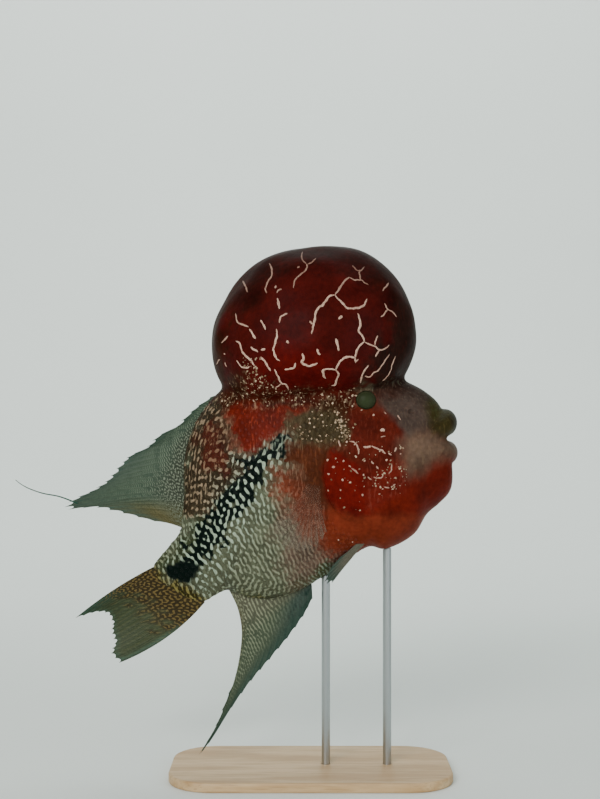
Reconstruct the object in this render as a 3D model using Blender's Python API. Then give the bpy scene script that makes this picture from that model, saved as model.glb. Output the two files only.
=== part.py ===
"""Flowerhorn cichlid, life size, as a still display model on two rods and a flat base.

The fish faces +X with its back up and its right side towards -Y. The origin is the centre of the base's
underside. Lengths below are in millimetres and become metres when a mesh is made.
"""

import math

import bmesh
import bpy
import numpy as np
from mathutils import Vector
from mathutils.bvhtree import BVHTree

MM = 0.001
GAP = 0.32  # clearance between neighbouring pieces
PARTING = 0.16  # half of the clearance at a planar cut across the body

# Cross-sections of the body from the tail fin's root to the snout. Each is an oval in a plane through Y:
# top (x, z), bottom (x, z), half width, lens. A lens over 1 pinches the oval's upper and lower edges.
STATIONS = (
    ((-95.2, 115.4), (-66.8, 98.0), 1.7, 0.9),
    ((-92.5, 123.0), (-60.5, 101.0), 4.2, 1.0),
    ((-85.0, 132.0), (-55.0, 104.5), 7.6, 1.1),
    ((-77.0, 143.5), (-48.0, 107.0), 11.0, 1.15),
    ((-75.5, 161.5), (-36.0, 103.0), 16.0, 1.2),
    ((-75.5, 179.5), (-21.0, 102.5), 20.5, 1.2),
    ((-72.5, 196.0), (-7.0, 107.0), 24.5, 1.2),
    ((-65.0, 211.5), (4.5, 113.5), 27.5, 1.15),
    ((-53.0, 225.5), (16.0, 120.5), 29.5, 1.1),
    ((-36.0, 233.5), (27.0, 129.0), 31.0, 1.05),
    ((-14.0, 237.5), (35.0, 133.0), 32.5, 1.0),
    ((9.0, 238.5), (43.0, 131.5), 33.5, 1.0),
    ((31.0, 237.0), (53.0, 135.0), 33.0, 1.0),
    ((48.0, 233.5), (62.0, 141.5), 30.5, 1.0),
    ((59.0, 229.5), (68.5, 152.0), 27.0, 1.0),
    ((67.5, 224.8), (75.7, 158.3), 23.0, 1.0),
    ((74.4, 218.9), (82.0, 165.3), 18.5, 1.0),
    ((77.6, 213.0), (83.6, 173.8), 14.0, 0.95),
    ((78.8, 207.3), (82.0, 182.3), 9.0, 0.9),
)
TAIL_END, TAIL_CUT, GILL_CUT, SNOUT_END = 0.0, 3.2, 9.6, 18.0  # station numbers
AROUND = 32  # corners of a body ring
TAIL_SWING = 9.0  # the tail fin's root is this far to the left of the head's line
SWING_FROM, SWING_TO = -5.0, -100.0  # x where the swing starts and where it is full

# Nuchal hump, a near sphere that sits on the nape and the crown
HUMP_CENTRE = (2.4, 250.6)
# every 30 degrees, from the front over the top
HUMP_RADII = (59.2, 62.8, 62.6, 60.2, 58.9, 59.8, 60.8, 57.0, 39.5, 32.5, 35.5, 51.0)
HUMP_HALF_WIDTH = 46.0
HUMP_LUMP = 0.7  # height of its soft lumps
HUMP_RINGS, HUMP_SPOKES = 26, 36

# Face
EYE_CENTRE, EYE_RADIUS, EYE_STAND_OUT = (31.3, 218.9), 6.6, 2.2
EYE_RINGS, EYE_SPOKES = 8, 18
UPPER_LIP = {"front": (79.0, 206.2), "corner": (67.0, 199.6), "front_r": (7.4, 8.4), "corner_r": (3.6, 3.0)}
LOWER_LIP = {"front": (79.6, 188.6), "corner": (67.0, 192.8), "front_r": (7.2, 7.6), "corner_r": (3.4, 3.0)}
LIP_HALF_WIDTH, LIP_RINGS, LIP_SPOKES = 20.5, 19, 14
NOSTRIL_PLACE, NOSTRIL_RADIUS = (57.5, 212.8), 1.5

# Gill cover, a thin plate whose rounded hind edge stands clear of the shoulder
COVER_CENTRE, COVER_HALF_LENGTH, COVER_HALF_HEIGHT, COVER_LEAN = (31.0, 176.3), 24.0, 31.0, math.radians(12)
COVER_FRONT_SHARE = 0.55  # its front half is this much shorter than its hind half
COVER_FRONT_THICK, COVER_REAR_THICK = 0.7, 2.2
COVER_RINGS, COVER_SPOKES = 5, 24

# Fins of the midline. base runs along the body by station number, margin is where the rays end, and bow
# is how far a ray bends towards its front side, both read evenly from the first ray to the last.
DORSAL = {
    "edge": "top",
    "base": (8.05, 3.15),
    "margin": (
        (-60.0, 220.8), (-73.5, 210.8), (-82.5, 201.5), (-92.0, 197.5), (-99.2, 190.2), (-108.0, 186.2),
        (-114.5, 180.4), (-121.6, 171.8), (-131.0, 165.2), (-143.5, 159.4), (-145.8, 154.2), (-128.5, 155.6),
        (-112.5, 152.4), (-93.0, 147.6),
    ),
    "bow": (0.5, 1.0, 1.5, 2.5, 1.0),
    "rays": 28,
    "rows": 7,
    "root": 2.0,
    "wave": (3.0, 1.6, 0.4),
}
ANAL = {
    "edge": "bottom",
    "base": (6.85, 3.1),
    "margin": (
        (1.2, 102.2), (-4.8, 91.0), (-14.8, 77.6), (-26.0, 64.5), (-37.5, 51.0), (-49.5, 34.0),
        (-59.5, 18.0), (-67.0, 8.5), (-57.0, 25.5), (-49.0, 45.5),
    ),
    "bow": (0.0, -0.5, -3.0, -8.5, -10.0),
    "rays": 20,
    "rows": 9,
    "root": 2.0,
    "wave": (4.0, 1.3, 2.2),
}
CAUDAL_ROOT = ((-93.5, 120.0), (-62.5, 100.0))
CAUDAL = {
    "margin": (
        (-140.3, 89.2), (-130.0, 92.2), (-122.0, 92.0), (-118.6, 86.5), (-118.8, 81.0), (-116.8, 75.0),
        (-118.6, 69.3), (-113.6, 63.6),
    ),
    "bow": (1.7, 0.8, -1.0, -4.2),
    "rays": 16,
    "rows": 7,
    "root": 3.2,
    "wave": (3.5, 1.4, 0.0),
}
SUNK = 4.0  # how far a fin's root lies in the body before the body is cut out of it
MEMBRANE, RAY_RIDGE = 0.6, 0.7  # membrane thickness, and how much a ray adds to it
NOTCH = 0.07  # how far the membrane stops short of the ray tips, as a share of a ray

# Trailing thread of the dorsal fin's longest ray
THREAD = (
    (-138.0, 158.0), (-148.5, 162.0), (-158.5, 164.0),
    (-166.0, 166.5), (-171.0, 169.0), (-175.0, 172.0),
)
THREAD_RADIUS, THREAD_TIP_RADIUS, THREAD_SIDES = 0.45, 0.25, 6

# Paired fins: root point, the way the middle ray points, the way across the rays, how far the root is
# tucked into the body sideways, and the fan's sizes
PECTORAL = {
    "root": (2.0, 173.0), "along": (-0.26, -0.16, -0.95), "across": (-0.95, 0.0, 0.25), "length": 42.0,
    "tuck": 3.5, "root_width": 7.0, "spread": math.radians(23), "rays": 11, "rows": 7,
    "curl": 2.0, "lean": -0.05,
}
PELVIC = {
    "root": (28.0, 135.5), "along": (-0.68, -0.06, -0.73), "across": (-0.60, -0.60, 0.53), "length": 28.0,
    "tuck": 0.0, "root_width": 4.0, "spread": math.radians(7), "rays": 6, "rows": 5,
    "curl": -1.5, "lean": 0.25,
}
PELVIC_SIDE = 11.5  # how far the pelvic fin's root is from the midline

# Display stand
BASE_LENGTH, BASE_WIDTH, BASE_HEIGHT, BASE_CORNER, BASE_EDGE = 164.0, 84.0, 5.6, 26.0, 1.2
ROD_RADIUS = 2.5
RODS = {"stand_rod_front": (45.0, "head"), "stand_rod_rear": (9.0, "torso")}  # x, and what the rod holds
ROD_SOCKET = 4.0  # how deep a rod stands in the base
ROD_SIDES = 16

COLOURS = {  # slot: colour, roughness, metallic
    "hump_skin": ((0.16, 0.012, 0.01), 0.3, 0.0),
    "face_skin": ((0.27, 0.03, 0.02), 0.35, 0.0),
    "lip_skin": ((0.13, 0.09, 0.06), 0.4, 0.0),
    "flank_skin": ((0.2, 0.13, 0.1), 0.4, 0.0),
    "tail_skin": ((0.16, 0.14, 0.09), 0.4, 0.0),
    "fin_membrane": ((0.14, 0.18, 0.13), 0.4, 0.0),
    "eye": ((0.03, 0.05, 0.03), 0.08, 0.0),
    "stand_wood": ((0.62, 0.47, 0.3), 0.5, 0.0),
    "stand_metal": ((0.55, 0.55, 0.56), 0.3, 1.0),
}


def clear_scene():
    for obj in list(bpy.data.objects):
        bpy.data.objects.remove(obj, do_unlink=True)


def material(slot):
    if slot in bpy.data.materials:
        return bpy.data.materials[slot]
    colour, roughness, metallic = COLOURS[slot]
    made = bpy.data.materials.new(slot)
    made.use_nodes = True
    shader = made.node_tree.nodes["Principled BSDF"]
    shader.inputs["Base Color"].default_value = (*colour, 1.0)
    shader.inputs["Roughness"].default_value = roughness
    shader.inputs["Metallic"].default_value = metallic
    return made


def through(points, at):
    """Catmull-Rom curve through evenly numbered points, read at the numbers in at."""
    knots = np.asarray(points, float).reshape(len(points), -1)
    at = np.clip(np.asarray(at, float).reshape(-1), 0, len(knots) - 1)
    low = np.minimum(at.astype(int), len(knots) - 2)
    t = (at - low)[:, None]
    ends = np.vstack([2 * knots[0] - knots[1], knots, 2 * knots[-1] - knots[-2]])
    before, start, end, after = (ends[low + k] for k in range(4))
    return 0.5 * (
        2 * start
        + (end - before) * t
        + (2 * before - 5 * start + 4 * end - after) * t**2
        + (3 * start - before - 3 * end + after) * t**3
    )


def evenly(points, share):
    """The same curve, read at shares of the way from its first point to its last."""
    return through(points, np.asarray(share, float) * (len(points) - 1))


def ease(x, start, end):
    t = np.clip((np.asarray(x, float) - start) / (end - start), 0, 1)
    return t * t * (3 - 2 * t)


def swung(points):
    """Bends the hind body to the left, as in a slow tail beat."""
    points = np.array(points, float)
    points[:, 1] += TAIL_SWING * ease(points[:, 0], SWING_FROM, SWING_TO) ** 2
    return points


def shade(mesh):
    mesh.shade_smooth()
    mesh.set_sharp_from_angle(angle=math.radians(40))


def new_object(name, points, faces, slot):
    mesh = bpy.data.meshes.new(name)
    mesh.from_pydata([tuple(p) for p in np.asarray(points) * MM], [], [tuple(map(int, f)) for f in faces])
    work = bmesh.new()
    work.from_mesh(mesh)
    bmesh.ops.recalc_face_normals(work, faces=work.faces)
    if work.calc_volume(signed=True) < 0:
        bmesh.ops.reverse_faces(work, faces=work.faces)
    work.to_mesh(mesh)
    work.free()
    shade(mesh)
    mesh.materials.append(material(slot))
    obj = bpy.data.objects.new(name, mesh)
    bpy.context.scene.collection.objects.link(obj)
    return obj


def bake_modifiers(obj):
    bpy.context.view_layer.update()
    graph = bpy.context.evaluated_depsgraph_get()
    mesh = bpy.data.meshes.new_from_object(obj.evaluated_get(graph))
    obj.modifiers.clear()
    obj.data = mesh


def keep_largest(obj):
    """Leaves only the closed surface with the most volume."""
    work = bmesh.new()
    work.from_mesh(obj.data)
    bmesh.ops.triangulate(work, faces=work.faces)
    left, islands = set(work.verts), []
    while left:
        island, edge = set(), [left.pop()]
        while edge:
            vert = edge.pop()
            island.add(vert)
            near = {e.other_vert(vert) for e in vert.link_edges} & left
            left -= near
            edge.extend(near)
        faces = {f for v in island for f in v.link_faces}
        volume = sum(f.verts[0].co.dot(f.verts[1].co.cross(f.verts[2].co)) for f in faces)
        islands.append((abs(volume), island))
    islands.sort(key=lambda pair: pair[0])
    for _, island in islands[:-1]:
        bmesh.ops.delete(work, geom=list(island), context="VERTS")
    if work.calc_volume(signed=True) < 0:
        bmesh.ops.reverse_faces(work, faces=work.faces)
    work.to_mesh(obj.data)
    work.free()
    shade(obj.data)


def grown(obj, by=GAP):
    """A copy whose surface lies outside the object's, to cut its neighbours with a clearance."""
    copy = bpy.data.objects.new(f"{obj.name}_grown", obj.data.copy())
    bpy.context.scene.collection.objects.link(copy)
    offset = copy.modifiers.new("offset", "DISPLACE")
    offset.strength = by * MM
    offset.mid_level = 0.0
    bake_modifiers(copy)
    copy.hide_render = True
    copy.display_type = "WIRE"
    return copy


def cut(obj, cutters, by=GAP):
    """Takes each cutter, grown by the clearance, out of obj."""
    for cutter in cutters:
        tool = grown(cutter, by)
        work = obj.modifiers.new("cut", "BOOLEAN")
        work.operation = "DIFFERENCE"
        work.solver = "EXACT"
        work.object = tool
        bake_modifiers(obj)
        bpy.data.objects.remove(tool, do_unlink=True)
        keep_largest(obj)


def join(obj, pieces):
    """Fuses the pieces into obj with one union, and removes them."""
    group = bpy.data.collections.new(f"{obj.name}_pieces")
    bpy.context.scene.collection.children.link(group)
    for piece in pieces:
        bpy.context.scene.collection.objects.unlink(piece)
        group.objects.link(piece)
    work = obj.modifiers.new("join", "BOOLEAN")
    work.operation = "UNION"
    work.solver = "EXACT"
    work.operand_type = "COLLECTION"
    work.collection = group
    bake_modifiers(obj)
    for piece in pieces:
        bpy.data.objects.remove(piece, do_unlink=True)
    bpy.data.collections.remove(group)
    keep_largest(obj)


def ring(at, spokes=AROUND):
    """One cross-section of the body, as points in order round it, and its centre."""
    top = through([s[0] for s in STATIONS], at)[0]
    bottom = through([s[1] for s in STATIONS], at)[0]
    half_width = through([[s[2]] for s in STATIONS], at)[0, 0]
    lens = through([[s[3]] for s in STATIONS], at)[0, 0]
    angle = np.arange(spokes) * 2 * math.pi / spokes
    middle, up = (top + bottom) / 2, (top - bottom) / 2
    side = half_width * np.sign(np.sin(angle)) * np.abs(np.sin(angle)) ** lens
    plane = middle + np.cos(angle)[:, None] * up
    return np.column_stack([plane[:, 0], side, plane[:, 1]]), np.array([middle[0], 0.0, middle[1]])


def cut_normal(at):
    """The way forward, square to the cross-section at this station."""
    top = through([s[0] for s in STATIONS], at)[0]
    bottom = through([s[1] for s in STATIONS], at)[0]
    up = (top - bottom) / np.linalg.norm(top - bottom)
    return np.array([up[1], 0.0, -up[0]])


def tube_faces(rings, spokes, first_cap, last_cap):
    """Quads along a tube of rings, and fans to the cap points with these numbers."""
    faces = []
    for r in range(rings - 1):
        for k in range(spokes):
            a, b = r * spokes + k, r * spokes + (k + 1) % spokes
            faces.append((a, b, b + spokes, a + spokes))
    last = (rings - 1) * spokes
    for k in range(spokes):
        faces.append((first_cap, (k + 1) % spokes, k))
        faces.append((last_cap, last + k, last + (k + 1) % spokes))
    return faces


def body_length(name, slot, start, end, rings, round_end=0.0):
    """A length of the body between two stations, as one closed tube."""
    stops = np.linspace(start, end, rings)
    points, centres = [], []
    for i, at in enumerate(stops):
        loop, centre = ring(at)
        if i == 0 and start != TAIL_END:
            loop, centre = loop + cut_normal(at) * PARTING, centre + cut_normal(at) * PARTING
        if i == rings - 1 and end != SNOUT_END:
            loop, centre = loop - cut_normal(at) * PARTING, centre - cut_normal(at) * PARTING
        points.append(loop)
        centres.append(centre)
    centres[-1] = centres[-1] + cut_normal(end) * round_end
    points = np.vstack([*points, centres[0], centres[-1]])
    count = rings * AROUND
    return new_object(name, swung(points), tube_faces(rings, AROUND, count, count + 1), slot)


def lumpy(direction):
    """Soft swellings of the hump, from a few crossed waves."""
    x, y, z = direction.T
    waves = np.sin(5.1 * x + 1.3) * np.sin(4.3 * z + 0.6)
    waves += 0.7 * np.sin(7.0 * y + 3.1 * z) * np.sin(6.2 * x - 1.0)
    return HUMP_LUMP * waves


def nuchal_hump():
    points = []
    for i in range(1, HUMP_RINGS):
        tilt = math.pi * i / HUMP_RINGS
        for k in range(HUMP_SPOKES):
            turn = 2 * math.pi * k / HUMP_SPOKES
            points.append((math.cos(tilt), math.sin(tilt) * math.sin(turn), math.sin(tilt) * math.cos(turn)))
    way = np.array([*points, (1, 0, 0), (-1, 0, 0)])
    turn = np.degrees(np.arctan2(way[:, 2], way[:, 0])) % 360
    again = np.concatenate([HUMP_RADII[-1:], HUMP_RADII, HUMP_RADII[:2]])
    reach = through(again, 1 + turn / 30)[:, 0]
    sizes = np.column_stack([reach, np.full(len(way), HUMP_HALF_WIDTH), reach])
    shape = way * (sizes + lumpy(way)[:, None]) + (HUMP_CENTRE[0], 0, HUMP_CENTRE[1])
    rings = HUMP_RINGS - 1
    faces = tube_faces(rings, HUMP_SPOKES, rings * HUMP_SPOKES, rings * HUMP_SPOKES + 1)
    return new_object("nuchal_hump", swung(shape), faces, "hump_skin")


def surface_of(objects):
    """A tree that finds where a sideways ray meets these objects, in millimetres."""
    points, faces = [], []
    for obj in objects:
        first = len(points)
        points.extend(v.co / MM for v in obj.data.vertices)
        faces.extend([first + k for k in p.vertices] for p in obj.data.polygons)
    return BVHTree.FromPolygons(points, faces)


def side_point(tree, x, z, side):
    """Where the skin is at x, z on one side (-1 right, +1 left), and which way it faces."""
    start = Vector((x, side * 200.0, z))
    hit, normal, _, _ = tree.ray_cast(start, Vector((0, -side, 0)))
    if normal.y * side < 0:
        normal = -normal
    return np.array(hit), np.array(normal)


def eyeball(name, tree, side):
    """A flattened ball, sunk in the head so that only its front stands out."""
    hit, _ = side_point(tree, *EYE_CENTRE, side)
    centre = np.array([hit[0], hit[1] + side * (EYE_STAND_OUT - EYE_RADIUS * 0.8), hit[2]])
    points = []
    for i in range(1, EYE_RINGS):
        tilt = math.pi * i / EYE_RINGS
        for k in range(EYE_SPOKES):
            turn = 2 * math.pi * k / EYE_SPOKES
            wide = math.sin(tilt)
            points.append((wide * math.cos(turn), 0.8 * math.cos(tilt), wide * math.sin(turn)))
    shape = np.array([*points, (0, 0.8, 0), (0, -0.8, 0)]) * EYE_RADIUS + centre
    rings = EYE_RINGS - 1
    faces = tube_faces(rings, EYE_SPOKES, rings * EYE_SPOKES, rings * EYE_SPOKES + 1)
    return new_object(name, shape, faces, "eye")


def lip(name, sizes):
    """A fleshy roll that runs from one corner of the mouth round the front to the other."""
    loops = []
    for i in range(LIP_RINGS):
        share = 2 * i / (LIP_RINGS - 1) - 1
        bend = math.sin(share * math.pi / 2)
        front = math.cos(share * math.pi / 2) ** 0.8
        corner, middle = np.array(sizes["corner"]), np.array(sizes["front"])
        x, z = corner + (middle - corner) * front
        thick = np.array(sizes["corner_r"]) + (np.array(sizes["front_r"]) - sizes["corner_r"]) * front
        along = np.array([-math.sin(share * math.pi / 2) * 0.8, math.cos(share * math.pi / 2)])
        along /= np.linalg.norm(along)
        out = np.array([along[1], -along[0]])
        angle = np.arange(LIP_SPOKES) * 2 * math.pi / LIP_SPOKES
        loops.append(np.column_stack([
            x + out[0] * thick[0] * np.cos(angle),
            LIP_HALF_WIDTH * bend + out[1] * thick[0] * np.cos(angle),
            z + thick[1] * np.sin(angle),
        ]))
    points = np.vstack([*loops, loops[0].mean(axis=0), loops[-1].mean(axis=0)])
    count = LIP_RINGS * LIP_SPOKES
    return new_object(name, points, tube_faces(LIP_RINGS, LIP_SPOKES, count, count + 1), "lip_skin")


def nostril(tree, side):
    """A small ball that takes the nostril's pit out of the snout."""
    hit, _ = side_point(tree, *NOSTRIL_PLACE, side)
    work = bmesh.new()
    bmesh.ops.create_icosphere(work, subdivisions=2, radius=NOSTRIL_RADIUS)
    points = np.array([v.co for v in work.verts]) + hit
    faces = [[v.index for v in f.verts] for f in work.faces]
    work.free()
    return new_object(f"nostril_pit_{side}", points, faces, "face_skin")


def gill_cover(name, tree, side):
    """A plate laid on the head's side by rays, thin in front and thickest along its free hind edge."""
    inner, outer = [], []
    for r in range(COVER_RINGS + 1):
        share = r / COVER_RINGS
        for k in range(COVER_SPOKES if r else 1):
            angle = 2 * math.pi * k / COVER_SPOKES
            along, up = math.cos(angle) * share, math.sin(angle) * share
            x = COVER_HALF_LENGTH * along * (COVER_FRONT_SHARE if along > 0 else 1)
            z = COVER_HALF_HEIGHT * up
            turn_x = x * math.cos(COVER_LEAN) - z * math.sin(COVER_LEAN)
            turn_z = x * math.sin(COVER_LEAN) + z * math.cos(COVER_LEAN)
            hit, normal = side_point(tree, COVER_CENTRE[0] + turn_x, COVER_CENTRE[1] + turn_z, side)
            thick = COVER_FRONT_THICK + (COVER_REAR_THICK - COVER_FRONT_THICK) * (1 - along) / 2
            inner.append(hit + normal * (GAP + 0.12))
            outer.append(hit + normal * (GAP + 0.12 + thick))
    count = len(inner)
    faces = []
    for layer in (0, count):
        faces.extend((layer, layer + 1 + k, layer + 1 + (k + 1) % COVER_SPOKES) for k in range(COVER_SPOKES))
        for r in range(COVER_RINGS - 1):
            start = layer + 1 + r * COVER_SPOKES
            for k in range(COVER_SPOKES):
                a, b = start + k, start + (k + 1) % COVER_SPOKES
                faces.append((a, b, b + COVER_SPOKES))
                faces.append((a, b + COVER_SPOKES, a + COVER_SPOKES))
    rim = 1 + (COVER_RINGS - 1) * COVER_SPOKES
    for k in range(COVER_SPOKES):
        a, b = rim + k, rim + (k + 1) % COVER_SPOKES
        faces.append((a, b, b + count, a + count))
    return new_object(name, np.array(inner + outer), faces, "face_skin")


def vane(name, slot, centre, normal, half_thick):
    """A thin blade over a grid of centres [column, row], with both faces split into triangles alike."""
    columns, rows, _ = centre.shape
    points = np.vstack([
        (centre + normal * half_thick[..., None]).reshape(-1, 3),
        (centre - normal * half_thick[..., None]).reshape(-1, 3),
    ])
    other = columns * rows
    faces = []
    for c in range(columns - 1):
        for r in range(rows - 1):
            a, b = c * rows + r, (c + 1) * rows + r
            for one, two, three in ((a, b, b + 1), (a, b + 1, a + 1)):
                faces.append((one, two, three))
                faces.append((other + three, other + two, other + one))
    border = [c * rows for c in range(columns)]
    border += [(columns - 1) * rows + r for r in range(1, rows)]
    border += [c * rows + rows - 1 for c in range(columns - 2, -1, -1)]
    border += [r for r in range(rows - 2, 0, -1)]
    for a, b in zip(border, border[1:] + border[:1]):
        faces.append((b, a, other + a))
        faces.append((b, other + a, other + b))
    return new_object(name, points, faces, slot)


def ray_grid(sizes, base, margin, bow_way):
    """Centres and half thicknesses of a midline fin: even columns are rays, odd ones the membrane between."""
    columns, rows = 2 * sizes["rays"] - 1, sizes["rows"] + 1
    share = np.linspace(0, 1, columns)
    bow = evenly([[b] for b in sizes["bow"]], share)[:, 0]
    is_ray = np.arange(columns) % 2 == 0
    centre, half = np.zeros((columns, rows, 3)), np.zeros((columns, rows))
    swing, waves, phase = sizes["wave"]
    for r in range(rows):
        v = r / (rows - 1)
        reach = np.where(is_ray, v, v * (1 - NOTCH))[:, None]
        chord = margin - base
        square = np.column_stack([chord[:, 1], -chord[:, 0]]) * bow_way
        square /= np.linalg.norm(square, axis=1)[:, None]
        plane = base + chord * reach + square * (bow[:, None] * 4 * reach * (1 - reach))
        centre[:, r, 0], centre[:, r, 2] = plane[:, 0], plane[:, 1]
        centre[:, r, 1] = swing * v**1.5 * np.sin(waves * math.pi * share + phase)
        root = max(0.0, 1 - 4 * v) * (sizes["root"] - MEMBRANE) / 2
        half[:, r] = MEMBRANE / 2 + root + np.where(is_ray, RAY_RIDGE / 2 * (1 - 0.75 * v), 0)
    flat = swung(centre.reshape(-1, 3)).reshape(centre.shape)
    return flat, half


def midline_fin(name, slot, sizes, bow_way=1):
    columns = 2 * sizes["rays"] - 1
    at = np.linspace(*sizes["base"], columns)
    top = through([s[0] for s in STATIONS], at)
    bottom = through([s[1] for s in STATIONS], at)
    edge, far = (top, bottom) if sizes["edge"] == "top" else (bottom, top)
    inward = (far - edge) / np.linalg.norm(far - edge, axis=1)[:, None]
    margin = evenly(sizes["margin"], np.linspace(0, 1, columns))
    centre, half = ray_grid(sizes, edge + inward * SUNK, margin, bow_way)
    return vane(name, slot, centre, np.array([0.0, 1.0, 0.0]), half)


def tail_fin():
    columns = 2 * CAUDAL["rays"] - 1
    base = evenly(CAUDAL_ROOT, np.linspace(0, 1, columns))
    margin = evenly(CAUDAL["margin"], np.linspace(0, 1, columns))
    centre, half = ray_grid(CAUDAL, base, margin, 1)
    return vane("caudal_fin", "fin_membrane", centre, np.array([0.0, 1.0, 0.0]), half)


def paired_fin(name, sizes, root, side):
    """A fan of rays from a narrow root on one side of the body."""
    mirror = np.array([1.0, -side, 1.0])
    along = np.array(sizes["along"]) * mirror
    across = np.array(sizes["across"]) * mirror
    along /= np.linalg.norm(along)
    across -= along * (across @ along)
    across /= np.linalg.norm(across)
    normal = np.cross(along, across)
    columns, rows = 2 * sizes["rays"] - 1, sizes["rows"] + 1
    centre, half = np.zeros((columns, rows, 3)), np.zeros((columns, rows))
    for c in range(columns):
        share = 2 * c / (columns - 1) - 1
        is_ray = c % 2 == 0
        length = sizes["length"] * (1 - 0.28 * share**2 - sizes["lean"] * share)
        length *= 1 if is_ray else 1 - NOTCH
        for r in range(rows):
            v = r / (rows - 1)
            out = v * length - SUNK * (1 - v)
            fan = share * sizes["spread"] * (0.4 + 0.6 * v)
            wide = share * sizes["root_width"] / 2 + out * math.sin(fan)
            place = along * out * math.cos(fan) + across * wide
            place = place + normal * sizes["curl"] * (v * v - 0.5 * share**2 * v) * side
            place[1] -= side * sizes["tuck"] * (1 - v) ** 6
            centre[c, r] = np.array(root) + place
            ridge = RAY_RIDGE / 2 * (1 - 0.75 * v) if is_ray else 0
            half[c, r] = MEMBRANE / 2 + max(0.0, 1 - 4 * v) * 0.6 + ridge
    return vane(name, "fin_membrane", centre, normal, half)


def thread():
    """A tapering thread that trails from the dorsal fin's tip."""
    share = np.linspace(0, 1, 16)
    line = evenly(THREAD, share)
    radius = THREAD_RADIUS + (THREAD_TIP_RADIUS - THREAD_RADIUS) * share
    angle = np.arange(THREAD_SIDES) * 2 * math.pi / THREAD_SIDES
    slope = np.gradient(line, axis=0)
    slope /= np.linalg.norm(slope, axis=1)[:, None]
    loops = []
    for (x, z), (dx, dz), r in zip(line, slope, radius):
        up, side = r * np.cos(angle), r * np.sin(angle)
        loops.append(np.column_stack([x - dz * up, side, z + dx * up]))
    points = np.vstack([*loops, (line[0, 0], 0, line[0, 1]), (line[-1, 0], 0, line[-1, 1])])
    swing, waves, phase = DORSAL["wave"]
    points[:, 1] += swing * math.sin(waves * math.pi * 0.7 + phase)
    count = len(line) * THREAD_SIDES
    faces = tube_faces(len(line), THREAD_SIDES, count, count + 1)
    return new_object("thread", swung(points), faces, "fin_membrane")


def stand_base():
    """A flat board with round corners and eased edges."""
    outline = []
    for corner in range(4):
        turn = corner * math.pi / 2
        out_x = (BASE_LENGTH / 2 - BASE_CORNER) * (1 if corner in (0, 3) else -1)
        out_y = (BASE_WIDTH / 2 - BASE_CORNER) * (1 if corner in (0, 1) else -1)
        for step in range(9):
            angle = turn + step * math.pi / 16
            outline.append((out_x + BASE_CORNER * math.cos(angle), out_y + BASE_CORNER * math.sin(angle)))
    count = len(outline)
    points = [(x, y, z) for z in (0.0, BASE_HEIGHT) for x, y in outline]
    faces = [tuple(range(count))[::-1], tuple(range(count, 2 * count))]
    faces += [(k, (k + 1) % count, count + (k + 1) % count, count + k) for k in range(count)]
    board = new_object("stand_base", points, faces, "stand_wood")
    ease_edges = board.modifiers.new("eased edges", "BEVEL")
    ease_edges.width = BASE_EDGE * MM
    ease_edges.segments = 2
    ease_edges.limit_method = "ANGLE"
    ease_edges.angle_limit = math.radians(60)
    bake_modifiers(board)
    shade(board.data)
    return board


def rod(name, x, tree):
    """A plain round rod from its socket in the base up into the fish, cut off at the skin later."""
    hit, _, _, _ = tree.ray_cast(Vector((x, 0.0, BASE_HEIGHT + 1.0)), Vector((0, 0, 1)))
    angle = np.arange(ROD_SIDES) * 2 * math.pi / ROD_SIDES
    heights = (BASE_HEIGHT - ROD_SOCKET, hit[2] + 3.0)
    around, across = ROD_RADIUS * np.cos(angle), ROD_RADIUS * np.sin(angle)
    loops = [np.column_stack([x + around, across, np.full(ROD_SIDES, h)]) for h in heights]
    points = np.vstack([*loops, (x, 0, heights[0]), (x, 0, heights[1])])
    return new_object(name, points, tube_faces(2, ROD_SIDES, 2 * ROD_SIDES, 2 * ROD_SIDES + 1), "stand_metal")


def main():
    clear_scene()
    tail_stalk = body_length("tail_stalk", "tail_skin", TAIL_END, TAIL_CUT, 8)
    torso = body_length("torso", "flank_skin", TAIL_CUT, GILL_CUT, 19)
    head = body_length("head", "face_skin", GILL_CUT, SNOUT_END, 20, round_end=1.5)
    flanks = surface_of([torso, head])

    hump = nuchal_hump()
    eyes = [eyeball("eye_right", flanks, -1), eyeball("eye_left", flanks, 1)]
    cut(hump, [head, torso, *eyes])
    for name, sizes in (("upper_lip", UPPER_LIP), ("lower_lip", LOWER_LIP)):
        cut(lip(name, sizes), [head])
    cut(head, eyes)
    pits = [nostril(flanks, -1), nostril(flanks, 1)]
    cut(head, pits, by=0.0)
    for pit in pits:
        bpy.data.objects.remove(pit, do_unlink=True)
    covers = [gill_cover("gill_cover_right", flanks, -1), gill_cover("gill_cover_left", flanks, 1)]

    dorsal = midline_fin("dorsal_fin", "fin_membrane", DORSAL)
    join(dorsal, [thread()])
    cut(dorsal, [torso, tail_stalk, hump])
    anal = midline_fin("anal_fin", "fin_membrane", ANAL)
    cut(anal, [torso, tail_stalk])
    caudal = tail_fin()
    cut(caudal, [tail_stalk])
    for side, label in ((-1, "right"), (1, "left")):
        hit, _ = side_point(flanks, *PECTORAL["root"], side)
        cut(paired_fin(f"pectoral_fin_{label}", PECTORAL, hit, side), [torso])
        root = (PELVIC["root"][0], side * PELVIC_SIDE, PELVIC["root"][1])
        cut(paired_fin(f"pelvic_fin_{label}", PELVIC, root, side), [torso, head])

    board = stand_base()
    for name, (x, held) in RODS.items():
        pin = rod(name, x, flanks)
        cut(board, [pin])
        cut(pin, [bpy.data.objects[held]])


main()
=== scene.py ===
"""Looks of the flowerhorn display model: one skin, scales, pearl lines, rayed fins, eyes and a plain studio.

Lengths are in millimetres up to the point where a mesh is made. The fish faces +X, its right side is
towards -Y, and the tables below repeat the sizes that its solids were built from.
"""

import math

import bpy
import numpy as np
import openvdb as vdb
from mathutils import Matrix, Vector
from mathutils.bvhtree import BVHTree


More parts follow.
